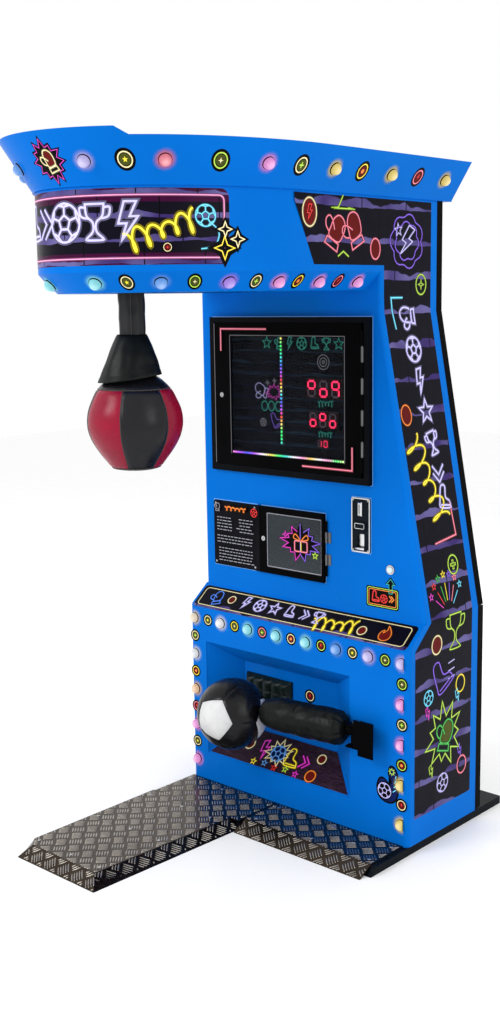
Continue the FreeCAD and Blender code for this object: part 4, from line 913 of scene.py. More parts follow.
def side_print(name, place, flip):
    """Print of one side; flip mirrors it so that both run from front to back."""
    def at(y, z):
        return (-y if flip else y, z)

    def ends(b):
        front, back = side_outline(b)
        return (-back, -front) if flip else (front, back)

    panel = Print(name, place)
    panel.sheet("wall", ends, [HEAD_PRINT_TOP - k * 0.0067 for k in range(25)] + [1.5491], 24)
    levels = [HEAD_PRINT_FOOT, 1.51, 1.47, BEND_Z]
    levels += [BEND_Z - (BEND_Z - CONSOLE_HIGH) * k / 20 for k in range(1, 21)]
    levels += [0.605, 0.59, 0.575, 0.5551, 0.5549, 0.5, 0.4, 0.3, 0.2, SIDE_PRINT_FOOT]
    panel.sheet("wall", ends, levels, 8)
    turn = -1 if flip else 1
    panel.icons(("ring", "cream", -0.210, 1.672, 0.052, 2.6, 0, 1.3, "maroon"),
                ("bolt", "red", -0.210, 1.672, 0.036, 2), at=at)
    for side in (-1, 1):
        place = at(-0.080 + side * 0.037, 1.632)
        panel.icon("glove", "pink", place, 0.088, 2.4 * MM, side * turn * 26, 1, "maroon")
    crown = star(7, 0.72, 90, 0.5)
    panel.neon("lime", [at(-0.080 + x * 0.125, 1.632 + y * 0.17) for x, y in crown if y > 0.22], 2.4 * MM)
    panel.neon("lime", [at(-0.080 + x * 0.10, 1.632 + y * 0.14) for x, y in crown if y < -0.30], 2.4 * MM)
    panel.icons(("ring", "pink", 0.052, 1.590, 0.040, 2.6, 0, 1.3, "maroon"),
                ("cloud", "violet", 0.190, 1.612, 0.150, 2.2, 0, 0.95),
                ("bolt", "lavender", 0.190, 1.612, 0.085, 2.6, turn * -24),
                ("star", "lavender", 0.152, 1.640, 0.034, 2, 8),
                ("ring", "lime", 0.256, 1.500, 0.046, 2.6, 0, 1.15),
                ("sparkle", "lime", 0.256, 1.500, 0.026, 1.8), at=at)
    panel.neon("cyan", [at(0.172, 1.466), at(0.120, 1.466), at(0.133, 1.384)], 3.2 * MM)
    column = [("glove", 1.412, 90), ("ball", 1.330, 0), ("bolt", 1.245, 10), ("star", 1.165, 0),
              ("cup", 1.080, 12), ("chevron", 1.000, -90), ("boot", 0.930, -8)]
    for icon_name, z, angle in column:
        y = 0.190 + (1.412 - z) * 0.10
        panel.icon(icon_name, "lavender", at(y, z), 0.066, 4.4 * MM, angle * turn)
    panel.icon("ring", "orange", at(0.123, 1.161), 0.044, 2.6 * MM, 0, 1.2, "maroon")
    squiggle = moved(WAVE, (0, 0), 0.250, -68)
    panel.neon("yellow", [at(0.176 + x, 0.985 + y) for x, y in squiggle], 4.2 * MM)
    panel.neon("pink", [at(0.264, 0.920), at(0.272, 0.827), at(0.170, 0.816)], 3.2 * MM)
    panel.icons(("ring", "lime", 0.238, 0.751, 0.046, 2.6, 0, 1.1),
                ("cross_mark", "lime", 0.238, 0.751, 0.024, 1.8), at=at)
    for number, colour in enumerate(("cyan", "pink", "violet", "yellow", "green", "red", "magenta")):
        angle = math.radians(40 + 18 * number)
        far = (0.190 + 0.085 * math.cos(angle), 0.628 + 0.105 * math.sin(angle))
        panel.icon("star", colour, at(*far), 0.019, 1.6 * MM)
        near = (0.192 + 0.03 * math.cos(angle), 0.628 + 0.035 * math.sin(angle))
        tip = (0.192 + 0.066 * math.cos(angle), 0.628 + 0.082 * math.sin(angle))
        panel.neon(colour, [at(*near), at(*tip)], 1.8 * MM)
    panel.icons(("cup", "lime", 0.217, 0.575, 0.105, 2.4),
                ("ring", "cream", 0.129, 0.553, 0.046, 2.6, 0, 1.1, "maroon"),
                ("boot", "violet", 0.150, 0.455, 0.100, 2.6, turn * 28),
                ("ball", "cyan", 0.092, 0.415, 0.042, 1.8), at=at)
    for k in range(3):
        panel.neon("lavender", [at(0.185, 0.490 - k * 0.022), at(0.215, 0.495 - k * 0.022)], 2 * MM)
    panel.icons(("ring", "yellow", 0.245, 0.420, 0.042, 2.6, 0, 1.15),
                ("burst", "lime", 0.168, 0.292, 0.165, 2.6, 6, 1.05),
                ("glove", "green", 0.168, 0.292, 0.090, 3.2, turn * -16, 1, "olive"), at=at)
    for y, z, colour in ((0.090, 0.372, "magenta"), (0.232, 0.388, "cyan"), (0.246, 0.226, "violet"),
                         (0.108, 0.205, "lime")):
        panel.icon("bolt", colour, at(y, z), 0.036, 1.8 * MM, turn * 30)
    panel.icons(("ring", "pink", 0.256, 0.183, 0.044, 2.6, 0, 1.15),
                ("ball", "lavender", 0.162, 0.158, 0.052, 2.2, 10), at=at)
    panel.done({"wall": WALL})


def marquee():
    """Dark printed band round the head, with an inset outline and large icons."""
    panel = Print("marquee", on_head)
    low, high, reach = HEAD_PRINT_FOOT - 1 * MM, HEAD_PRINT_TOP, 0.417
    ends = corner_ends(-reach, reach, low, high, 0.020)
    panel.sheet("wall", ends, corner_levels(low, high, 0.020, 8), 72)
    outline = moved(rounded(2 * reach - 0.026, high - low - 0.030, 0.012), (0, (low + high) / 2))
    panel.neon("orchid", outline, 2.6 * MM, True)
    middle = (low + high) / 2
    row = [("star", -0.36), ("glove", -0.28), ("bolt", -0.20), ("boot", -0.125), ("chevron", -0.05),
           ("ball", 0.025), ("cup", 0.105), ("bolt", 0.180)]
    for name, a in row:
        panel.icon(name, "lavender", (a, middle + 0.012), 0.086, 5.0 * MM)
    panel.neon("yellow", moved(WAVE, (0.255, middle - 0.010), 0.170, 18), 5.0 * MM)
    panel.icon("ball", "cyan", (0.358, middle + 0.024), 0.048, 2.2 * MM)
    tail = smooth([(0, 0), (0.022, -0.022), (0.012, -0.052), (-0.022, -0.060)])
    panel.neon("cyan", moved(tail, (0.368, middle + 0.010)), 2.2 * MM)
    panel.badge((0.268, middle - 0.046), 0.013, "cream", "sparkle", "red")
    panel.badge((-0.262, middle - 0.050), 0.012, "lime", "dot", "orange")
    for a, b, size, colour in ((0.404, 1.584, 0.052, "yellow"), (0.438, 1.604, 0.036, "cream"),
                               (0.406, 1.626, 0.034, "cream")):
        panel.shape("black", moved(star(4, 0.50), (a, b), size * 1.7), TOP)
        panel.line(colour, moved(star(4, 0.38), (a, b), size), 2.6 * MM, TOP + 0.15 * MM, True)
    panel.done({"wall": WALL_MARQUEE})


def crown_sticker():
    """Spiky sticker on the raised middle of the crown, with a glove."""
    panel = Print("crown_sticker", on_crown)
    at = (0.026, 1.776)
    panel.shape("black", moved(star(12, 0.70, 90, 0.5, 0.12), at, 0.098), BOARD)
    panel.line("magenta", moved(star(12, 0.70, 90, 0.5, 0.12), at, 0.084), 1.4 * MM, LINE, True)
    panel.icon("glove", "cream", at, 0.046, 2.0 * MM, 12, 1, "maroon")
    panel.done()


def console_print():
    """Dark printed strip on the console with an outline and a row of icons."""
    panel = Print("console_print", on_console)
    left, right, low, high = -0.392, 0.388, 0.004, 0.086
    ends = corner_ends(left, right, low, high, 0.012)
    panel.sheet("wall", ends, corner_levels(low, high, 0.012, 6), 40)
    frame_line = moved(rounded(0.752, 0.064, 0.010), (-0.004, 0.0455))
    panel.neon("cream", frame_line, 1.6 * MM, True)
    for k in range(9):
        a = -0.34 + k * 0.085
        panel.line("black", [(a, low), (a + 0.006, low + 0.006)], 2 * MM)
    panel.icons(("glove", "blue", -0.322, 0.046, 0.050, 2, 18),
                ("ring", "cream", -0.262, 0.050, 0.026, 2, 0, 1, "maroon"))
    row = [("bolt", -0.205), ("ball", -0.150), ("star", -0.093), ("boot", -0.037), ("chevron", 0.018),
           ("cup", 0.066)]
    for name, a in row:
        panel.icon(name, "lavender", (a, 0.050), 0.042, 3.0 * MM)
    panel.neon("yellow", moved(WAVE, (0.132, 0.036), 0.150, 6), 4.2 * MM)
    panel.icons(("ring", "cream", 0.226, 0.038, 0.028, 2, 0, 1, "maroon"),
                ("flame", "orange", 0.302, 0.044, 0.050, 2, 0, 1, "maroon"))
    panel.done({"wall": WALL})


def display_print():
    """Board behind the display glass, its digits and the neon corners on the door."""
    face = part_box("display_case")[1].y - 4 * MM
    panel = Print("display_print", on_front(face), slot="print_board")
    left, right, low, high = -0.336, 0.207, 0.993, 1.402
    panel.sheet("board", corner_ends(left, right, low, high, 0.002), corner_levels(low, high, 0.002, 4), 4)
    for name, a in (("star", -0.165), ("glove", -0.120), ("bolt", -0.080), ("ball", -0.036), ("boot", 0.008),
                    ("cup", 0.052), ("star", 0.095)):
        panel.icon(name, "teal", (a, 1.345), 0.034, 2.2 * MM)
    panel.icons(("target", "grey", 0.041, 1.295, 0.040, 1.6, 0, 1, "black"),
                ("glove", "lavender", -0.190, 1.206, 0.050, 1.8, 70),
                ("burst", "magenta", -0.140, 1.206, 0.060, 1.8, 0, 0.7))
    for k, a in enumerate((-0.176, -0.150, -0.124)):
        panel.icons(("ring", "teal", a, 1.166, 0.022, 2, 0, 1.25),
                    ("sparkle", "grey", a + 0.012, 1.232 + 0.006 * (k % 2), 0.014, 1.4))
    panel.icons(("boot", "violet", -0.135, 1.124, 0.046, 1.8, 30),
                ("ball", "grey", -0.182, 1.118, 0.022, 1.4))
    panel.neon("teal", moved(WAVE, (0.048, 1.181), 0.055, 4), 1.8 * MM)
    panel.neon("teal", moved(WAVE, (0.046, 1.096), 0.050, 0), 1.8 * MM)
    panel.done({"board": WALL_BOARD})
    door = Print("door_neon", on_front(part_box("display_door_frame")[0].y), "display_door")
    door.neon("pink", [(-0.305, 1.322), (-0.305, 1.385), (-0.129, 1.385)], 3.0 * MM)
    door.neon("pink", [(0.173, 1.073), (0.173, 1.010), (-0.002, 1.010)], 3.0 * MM)
    door.done()


WINDOW = (-0.273, 0.145, 1.026, 1.367)      # opening of the display door: x, x, z, z


def trim_and_edge_highlights():
    """Painted highlights on the edges round the plates on the tower, light grey lines on the display door,
    the metal trim of the coin plate and a grey line round the prize window.
    """
    # Sky-blue lines round the display case, prize door frame, rules panel and coin plate: painted highlights
    # on their edges.
    panel = Print("tower_edge_highlights", on_front(TOWER_FACE))
    for node in ("display_case", "prize_door_frame", "rules_panel", "coin_plate"):
        low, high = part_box(node)
        right = high.x - (9 * MM if node == "prize_door_frame" else 14 * MM if node == "rules_panel" else 0)
        middle = ((low.x + right) / 2, (low.z + high.z) / 2)
        panel.line("sky", moved(rounded(right - low.x + 2 * MM, high.z - low.z + 2 * MM, 3 * MM), middle),
                   2.2 * MM, 0.3 * MM, True)
    panel.done()
    low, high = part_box("coin_plate")
    middle = (low + high) / 2
    rim = Print("coin_rim", on_front(low.y + 3 * MM), slot="coin_chrome")
    edge = rounded(high.x - low.x - 4 * MM, high.z - low.z - 4 * MM, 4 * MM)
    rim.line("metal", moved(edge, (middle.x, middle.z)), 3 * MM, 0.6 * MM, True)
    rim.done({"metal": FINISH["coin_chrome"]})
    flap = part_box("coin_return_flap")
    ends = [Vector((middle.x + x * MM, low.y, flap[0].z - 4 * MM)) for x in (-14, 0, 14)]
    tube("coin_lip", ends, 4 * MM, FINISH["coin_chrome"], "cabinet", "coin_chrome", sides=12)
    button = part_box("reject_button")
    edge = Print("reject_rim", on_front(button[0].y), "reject_button", "coin_chrome")
    edge.line("metal", moved(rounded(0.031, 0.014, 3 * MM), (middle.x, (button[0].z + button[1].z) / 2)),
              1.4 * MM, 0.3 * MM, True)
    edge.done({"metal": FINISH["coin_chrome"]})
    low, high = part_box("display_door_frame")
    # Light grey lines down the door's left edge and along the sides and top of its window.
    door = Print("door_edge_lines", on_front(low.y + 3.5 * MM), "display_door")
    left = low.x + 1.5 * MM
    door.line("ash", [(left, low.z + 2 * MM), (left, high.z - 2 * MM)], 2.4 * MM, 0.3 * MM)
    for x in (WINDOW[0], WINDOW[1]):
        door.line("ash", [(x, WINDOW[2]), (x, WINDOW[3])], 2.0 * MM, 0.3 * MM)
    door.line("ash", [(WINDOW[0], WINDOW[3]), (WINDOW[1], WINDOW[3])], 2.0 * MM, 0.3 * MM)
    door.done()
    low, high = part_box("prize_door_window")
    prize = Print("prize_trim", on_front(low.y), "prize_door", "display_glass")
    edge = moved(rounded(high.x - low.x - 11 * MM, high.z - low.z - 11 * MM, 2 * MM),
                 ((low.x + high.x) / 2, (low.z + high.z) / 2))
    prize.line("grey", edge, 3.0 * MM, 0.3 * MM, True)
    prize.done()


# The ends of each segment of a digit, as shares of its width and height.
SEGMENTS = {"a": ((0, 1), (1, 1)), "b": ((1, 1), (1, 0.5)), "c": ((1, 0.5), (1, 0)), "d": ((1, 0), (0, 0)),
            "e": ((0, 0), (0, 0.5)), "f": ((0, 0.5), (0, 1)), "g": ((0, 0.5), (1, 0.5))}


def lit_digits():
    """Seven-segment digits on the number modules, some segments lit."""
    panel = Print("digits", on_front(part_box("score_digits")[0].y), slot="digit_red")
    groups = [((-0.014, 1.195, 0.126, 0.055), ("abfg", "cdeg", "abcfg")),
              ((-0.006, 1.113, 0.104, 0.047), ("cdeg", "abfg", "cdeg")),
              ((0.024, 1.060, 0.042, 0.022), ("bc", "abcdef"))]
    for (x, z, width, height), lit in groups:
        cell = width / len(lit)
        for number, segments in enumerate(lit):
            left = x + cell * number + cell * 0.2
            for name, (first, last) in SEGMENTS.items():
                ends = []
                for across, up in (first, last):
                    ends.append((left + across * cell * 0.56, z + height * (0.12 + 0.76 * up)))
                start, end = Vector(ends[0]), Vector(ends[1])
                gap = (end - start).normalized() * (height * 0.045)
                colour = "digit_lit" if name in segments else "digit_unlit"
                panel.line(colour, [tuple(start + gap), tuple(end - gap)], height * 0.10)
    panel.done({"digit_lit": glowing("digit_lit", (1.0, 0.02, 0.10, 1), 2.2),
                "digit_unlit": surface("digit_unlit", (0.16, 0.13, 0.16, 1), 0.4)})


def prize_print():
    """Neon burst with a gift box on the prize window."""
    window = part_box("prize_door_window")
    panel = Print("prize_neon", on_front(window[0].y), "prize_door", "display_glass")
    at = (-0.020, 0.788)
    panel.shape("black", moved(star(13, 0.66, 90, 0.5, 0.18), at, 0.150, 0, 0.72), BOARD)
    blast = moved(star(13, 0.66, 90, 0.5, 0.18), at, 0.135, 0, 0.72)
    panel.neon("magenta", [p for p in blast if p[0] < -0.02], 1.8 * MM)
    panel.neon("violet", [p for p in blast if p[0] > -0.03], 1.8 * MM)
    box = moved(rounded(0.046, 0.030, 0.004), (-0.018, 0.778))
    panel.neon("pink", box, 2.6 * MM, True)
    panel.neon("yellow", [(-0.018, 0.763), (-0.018, 0.793)], 2.6 * MM)
    for side in (-1, 1):
        bow = smooth([(-0.018, 0.794), (-0.018 + side * 0.020, 0.812), (-0.018 + side * 0.026, 0.800),
                      (-0.018, 0.794)])
        panel.neon("orange", bow, 2.2 * MM)
    panel.icons(("star", "lime", 0.034, 0.758, 0.020, 1.8),
                ("sparkle", "magenta", -0.075, 0.806, 0.020, 1.8))
    panel.done()


def rules_print():
    """Rows of short strokes instead of text, with two icons at the top."""
    low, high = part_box("rules_panel")
    panel = Print("rules_lines", on_front(low.y), slot="rules_print")
    panel.icons(("glove", "grey", low.x + 0.020, high.z - 0.020, 0.024, 1.6),
                ("ball", "red", high.x - 0.020, high.z - 0.024, 0.024, 1.6))
    panel.neon("orange", moved(WAVE, ((low.x + high.x) / 2, high.z - 0.021), 0.084, 0, 0.42), 3.0 * MM)
    rng = random.Random(4)
    for row in range(15):
        z = high.z - 0.050 - row * 0.0092
        if row in (5, 9):
            continue
        start = low.x + 0.020 + (0.006 if row > 9 else 0.0)
        end = high.x - 0.018 - rng.uniform(0, 0.012)
        a = start
        while a < end - 0.006:
            word = rng.uniform(0.006, 0.017)
            if row < 5 and abs((a + word / 2) - (low.x + high.x) / 2) < 0.010:
                a += 0.014
                continue
            panel.line("grey", [(a, z), (min(a + word, end), z)], 2.4 * MM)
            a += word + 0.0035
    panel.done()


def start_sign():
    """Neon sign beside the start button, with an arrow up to it."""
    panel = Print("start_sign", on_front(TOWER_FACE))
    middle = (0.261, 0.671)
    panel.shape("black", moved(rounded(0.108, 0.058, 0.007), middle), BOARD)
    panel.shape("black", moved(ARROW, (0.288, 0.706), 0.052), BOARD)
    panel.line("lime", moved(rounded(0.100, 0.050, 0.006), middle), 1.8 * MM, HALO, True)
    panel.line("orange", moved(rounded(0.090, 0.041, 0.005), middle), 2.0 * MM, HALO, True)
    panel.line("teal", moved(ARROW, (0.288, 0.706), 0.040), 1.8 * MM, LINE, True)
    panel.icons(("boot", "red", 0.236, 0.671, 0.030, 2.4), ("ball", "red", 0.266, 0.669, 0.022, 2),
                ("chevron", "orange", 0.290, 0.671, 0.022, 2.4))
    panel.done()


def kick_sticker():
    """Ball with a curved trail, at the lower right of the front."""
    panel = Print("kick_sticker", on_front(0))
    swoosh = smooth([(0.300, 0.172), (0.306, 0.148), (0.326, 0.136), (0.350, 0.138), (0.366, 0.156),
                     (0.370, 0.190), (0.366, 0.222), (0.354, 0.238), (0.342, 0.236), (0.338, 0.216),
                     (0.346, 0.196), (0.340, 0.188), (0.322, 0.200), (0.308, 0.196)], True)
    panel.shape("navy", swoosh, BOARD)
    panel.line("black", swoosh, 5 * MM, HALO, True)
    panel.shape("black", moved(ring(), (0.325, 0.166), 0.050), LINE)
    for points, closed in ICONS["ball"]:
        panel.line("lavender", moved(points, (0.325, 0.166), 0.042), 2.0 * MM, TOP, closed)
    for k in range(4):
        panel.line("cyan", [(0.352 + k * 0.003, 0.168 + k * 0.013), (0.362, 0.176 + k * 0.013)], 2 * MM, LINE)
    panel.line("lime", moved(star(8, 0.5), (0.349, 0.224), 0.020), 1.6 * MM, TOP, True)
    panel.done()


def niche_print():
    """Printed plate on the niche's sloping floor and a sticker on its back wall."""
    front_y, back_y = 2 * MM, 85 * MM
    front_z, back_z = 0.113, 0.195
    front_left, front_right, back_left, back_right = -0.331, 0.200, -0.252, 0.097
    up = Vector((0, -(back_z - front_z), back_y - front_y)).normalized()

    def on_floor(a, b, h):
        """Shares of the sloping floor: a across it, b from its front to its back."""
        left = front_left + (back_left - front_left) * b
        right = front_right + (back_right - front_right) * b
        return Vector((left + (right - left) * a, front_y + (back_y - front_y) * b,
                       front_z + (back_z - front_z) * b)) + up * h

    panel = Print("niche_print", on_floor)
    panel.sheet("wall", lambda b: (0.0, 1.0), [0.03 + 0.94 * k / 8 for k in range(9)], 24, 1.2 * MM)
    panel.done({"wall": WALL_PURPLE})

    def flat(a, b, h):
        """Metres on the sloping floor: a along the front, b up the slope."""
        slope = Vector((0, back_y - front_y, back_z - front_z)).normalized()
        return Vector((a, front_y, front_z)) + slope * b + up * (h + 1.2 * MM)

    icons = Print("niche_neon", flat)
    icons.icons(("burst", "cream", -0.090, 0.060, 0.092, 2.4, 0, 0.85, "navy"),
                ("ball", "sky", -0.090, 0.058, 0.050), ("bolt", "magenta", -0.142, 0.058, 0.058, 3, 20),
                ("boot", "yellow", -0.040, 0.054, 0.060, 3), ("chevron", "magenta", 0.010, 0.056, 0.048, 3))
    for k, colour in enumerate(("yellow", "sky", "red", "lime", "magenta")):
        icons.icon("star", colour, (-0.160 + k * 0.040, 0.014 + 0.005 * (k % 2)), 0.020, 1.8 * MM)
    icons.icons(("ring", "cream", -0.205, 0.064, 0.036, 2.6, 0, 1, "maroon"),
                ("ring", "orange", 0.052, 0.022, 0.034, 2.6, 0, 1, "maroon"),
                ("ring", "cream", 0.062, 0.080, 0.028, 2.2, 0, 1, "maroon"))
    icons.done()
    wall = Print("niche_sticker", on_front(back_y))
    wall.badge((-0.003, 0.338), 0.020, "cream", "bolt", "red")
    wall.done()


# ---- treadplate -----------------------------------------------------------------------------
# Lighter copy of the treadplate metal for the raised bars: painted highlight.
TREAD_HIGHLIGHT = brushed("tread_painted_highlight", (0.34, 0.31, 0.275, 1), 0.24, (90, 90, 90), metal=0.95)


def tread_bars(name, fields):
    """Raised five-bar pattern. Each field is (place, inside, reach) on one face of the plates."""
    cell, bars = 0.039, 5
    verts, faces = [], []
    count = 10
    for place, inside, reach in fields:
        steps = int(reach / cell) + 2
        for i in range(-steps, steps):
            for j in range(-steps, steps):
                along_p = (i + j) % 2 == 0
                for k in range(bars):
                    shift = (k - (bars - 1) / 2) * cell / bars * 0.92
                    p = (i + 0.5) * cell + (0 if along_p else shift)
                    q = (j + 0.5) * cell + (shift if along_p else 0)
                    direction = (1, 1) if along_p else (-1, 1)
                    mid = ((p - q) * math.sqrt(0.5), (p + q) * math.sqrt(0.5))
                    along = Vector(direction).normalized()
                    ends = [0.0150, 0.0150]
                    for end, sign in enumerate((-1, 1)):
                        while ends[end] > -0.014 and not inside(*(Vector(mid) + along * ends[end] * sign)):
                            ends[end] -= 0.001
                    half = (ends[0] + ends[1]) / 2
                    mid = Vector(mid) + along * (ends[1] - ends[0]) / 2
                    if half < 0.003:
                        continue
                    across = Vector((-along.y, along.x))
                    base = len(verts)
                    for wide, long, height in ((2.3, 1.0, 0.0), (1.7, 0.93, 0.8), (0.7, 0.74, 1.2)):
                        for angle in turns(count):
                            spot = (Vector(mid) + along * (half * long * math.cos(angle))
                                    + across * (wide * MM * math.sin(angle)))
                            verts.append(place(spot.x, spot.y, height * MM))
                    faces += band_faces(count, 3, base)
                    faces.append([base + 2 * count + n for n in range(count)])
    new_piece(name, verts, faces, TREAD_HIGHLIGHT, "cabinet", "treadplate")


def treadplates():
    """Raised bars on the flat tops and the sloping edges of both plates."""
    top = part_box("kicker_tread_plate")[1].z
    boxer_front, kicker_front, kicker_left, kicker_right = -0.638, -0.140, -0.054, 0.383
    boxer_run, side_run, kicker_run = 0.042, 0.040, 0.050     # how far each sloping edge reaches out

    def on_top(a, b, h):
        return Vector((a, b, top + h))

    def boxer_edge(y):
        """Right edge of the boxer's plate, which runs outward to the back."""
        return -0.122 + 0.030 * (y - boxer_front) / 0.473

    def boxer_top(a, b):
        return -0.404 < a < boxer_edge(b) - 0.001 and max(-0.637, -1.015 - a) < b < -0.163

    def boxer_inner(a, b):
        return -0.398 < a < -0.062 and -0.163 < b < -0.002

    def kicker_top(a, b):
        return kicker_left < a < kicker_right and kicker_front + 0.001 < b < -0.002

    def flange(edge, run_x, run_y):
        """Sloping edge of a plate: a follows its top line edge(a), b runs down the slope."""
        run = abs(run_x) + abs(run_y)
        down = Vector((run_x, run_y, -top)).normalized()
        out = Vector((top * (run_x / run), top * (run_y / run), run)).normalized()
        return lambda a, b, h: edge(a) + down * b + out * h

    on_front_flange = flange(lambda a: Vector((a, boxer_front, top)), 0, -boxer_run)
    on_right_flange = flange(lambda a: Vector((boxer_edge(a), a, top)), side_run, 0)
    on_kick_flange = flange(lambda a: Vector((a, kicker_front, top)), 0, -kicker_run)

    def front_flange(a, b):
        return 0.001 < b < 0.046 and -0.378 < a < -0.123 + boxer_run * b / 0.049

    def right_flange(a, b):
        return 0.001 < b < 0.040 and -0.636 - boxer_run * b / 0.049 < a < -0.167

    def kick_flange(a, b):
        return 0.001 < b < 0.054 and kicker_left < a < kicker_right

    tread_bars("boxer_tread_bars",
               [(on_top, boxer_top, 0.8), (on_top, boxer_inner, 0.5),
                (on_front_flange, front_flange, 0.5), (on_right_flange, right_flange, 0.75)])
    tread_bars("kicker_tread_bars", [(on_top, kicker_top, 0.5), (on_kick_flange, kick_flange, 0.5)])


# ---- soft goods -----------------------------------------------------------------------------
def about(middle, reach, angle, z):
    """Point at a distance from an upright axis; the angle starts at the front and grows to the right."""
    return Vector((middle[0] + reach * math.sin(angle), middle[1] - reach * math.cos(angle), z))


def join_rows(rows, cap_low=True, cap_high=True):
    """One closed mesh from rows of points that go round."""
    count = len(rows[0])
    verts = [point for row in rows for point in row]
    faces = band_faces(count, len(rows))
    if cap_low:
        verts.append(sum(rows[0], Vector()) / count)
        faces += [[(k + 1) % count, k, len(verts) - 1] for k in range(count)]
    if cap_high:
        top = (len(rows) - 1) * count
        verts.append(sum(rows[-1], Vector()) / count)
        faces += [[top + k, top + (k + 1) % count, len(verts) - 1] for k in range(count)]
    return verts, faces


def tube(name, points, radius, material, body, slot, closed=False, sides=8):
    """Thin round cord along a line of points, as a mesh."""
    count = len(points)
    verts = []
    normal = None
    for k, point in enumerate(points):
        before = points[k - 1] if closed or k else point
        after = points[(k + 1) % count] if closed or k < count - 1 else point
        along = (after - before).normalized()
        if normal is None:
            normal = along.orthogonal().normalized()
        normal = (normal - along * normal.dot(along)).normalized()
        across = along.cross(normal)
        verts += [point + (normal * math.cos(angle) + across * math.sin(angle)) * radius
                  for angle in turns(sides)]
    faces = band_faces(sides, count, closed=closed)
    if not closed:
        faces.append([j for j in reversed(range(sides))])
        faces.append([(count - 1) * sides + j for j in range(sides)])
    return new_piece(name, verts, faces, material, body, slot)


BAG_MID = centre_of("punch_bag")
BAG_RED = leather("bag_red", (0.25, 0.0015, 0.022, 1), 0.27, 0.22)
BAG_BLACK = leather("bag_black", (0.006, 0.006, 0.008, 1), 0.27, 0.25)
PIPING = leather("bag_piping", (0.05, 0.045, 0.045, 1), 0.4, 0.2, 900)
# Radius and height of the bag's outline.
BAG_PROFILE = smooth([(0.0, 1.0545), (0.030, 1.0562), (0.055, 1.0605), (0.062, 1.0650), (0.072, 1.0770),
                      (0.096, 1.1090), (0.1125, 1.140), (0.1188, 1.172), (0.1155, 1.204), (0.103, 1.2350),
                      (0.091, 1.2555), (0.066, 1.2800), (0.045, 1.292), (0.031, 1.2985)], False, 8)
TOP_SEAM_Z, BASE_SEAM_Z = 1.2570, 1.0640
PUCKER_LOW, PUCKER_HIGH = 1.058, 1.29
BAG_R = 0.119


def bag_relief(angle, z):
    """How far the leather stands out: fuller between seams, drawn in at them, puckered near the ends."""
    gore = math.radians(60)
    across = ((angle + gore / 2) % gore) / gore - 0.5
    width = BAG_R * gore
    from_seam = (0.5 - abs(across)) * width
    inner = BASE_SEAM_Z < z < TOP_SEAM_Z
    relief = 0.0
    if inner:
        relief -= 1.9 * MM * math.exp(-(from_seam / 0.0035) ** 2)
        relief += 0.5 * MM * math.cos(math.pi * across) - 0.5 * MM
    for seam in (TOP_SEAM_Z, BASE_SEAM_Z):
        relief -= 1.7 * MM * math.exp(-((z - seam) / 0.0032) ** 2)
        near = math.exp(-abs(z - seam) / 0.020)
        relief += near * 0.9 * MM * noise.noise(Vector((math.sin(angle) * 9, math.cos(angle) * 9, z * 14)))
    relief += 1.1 * MM * noise.noise(Vector((math.sin(angle) * 2.2, math.cos(angle) * 2.2, z * 20)))
    return relief - 0.4 * MM


def punch_bag():
    """Bag of six gores between a base cap and a top cap, with piping along its seams."""
    middle = (BAG_MID.x, BAG_MID.y)
    rows = []
    for radius, z in BAG_PROFILE:
        reach = [max(radius, 0.0006) + (bag_relief(angle, z) if PUCKER_LOW < z < PUCKER_HIGH else 0.0)
                 for angle in turns(180)]
        rows.append([about(middle, r, angle, z) for r, angle in zip(reach, turns(180))])
    verts, faces = join_rows(rows)
    piece = new_piece("punch_bag_gores", verts, faces, [BAG_BLACK, BAG_RED], "punch_arm", "bag_leather")
    for face in piece.data.polygons:
        centre = face.center
        angle = math.degrees(math.atan2(centre.x - middle[0], -(centre.y - middle[1])))
        gore = round(angle / 60) % 6
        red = gore in (0, 2, 4) and BASE_SEAM_Z < centre.z < TOP_SEAM_Z
        face.material_index = 1 if red else 0
    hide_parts("punch_bag")
    sides = [p for p in BAG_PROFILE if BASE_SEAM_Z <= p[1] <= TOP_SEAM_Z]
    for k in range(6):
        angle = math.radians(30 + 60 * k)
        line = [about(middle, r + bag_relief(angle, z) + 0.5 * MM, angle, z) for r, z in sides]
        tube(f"bag_piping_{k}", line, 1.25 * MM, PIPING, "punch_arm", "bag_leather")
    for name, seam in (("top", TOP_SEAM_Z), ("base", BASE_SEAM_Z)):
        radius = radius_at(seam)
        circle = [about(middle, radius + bag_relief(angle, seam) + 0.6 * MM, angle, seam)
                  for angle in turns(96)]
        tube("bag_piping_" + name, circle, 1.4 * MM, PIPING, "punch_arm", "bag_leather", True)


def radius_at(z):
    """Radius of the bag's outline at a height."""
    for (r0, z0), (r1, z1) in zip(BAG_PROFILE, BAG_PROFILE[1:]):
        if z0 <= z <= z1:
            return r0 + (r1 - r0) * (z - z0) / max(z1 - z0, 1e-9)
    return 0.0


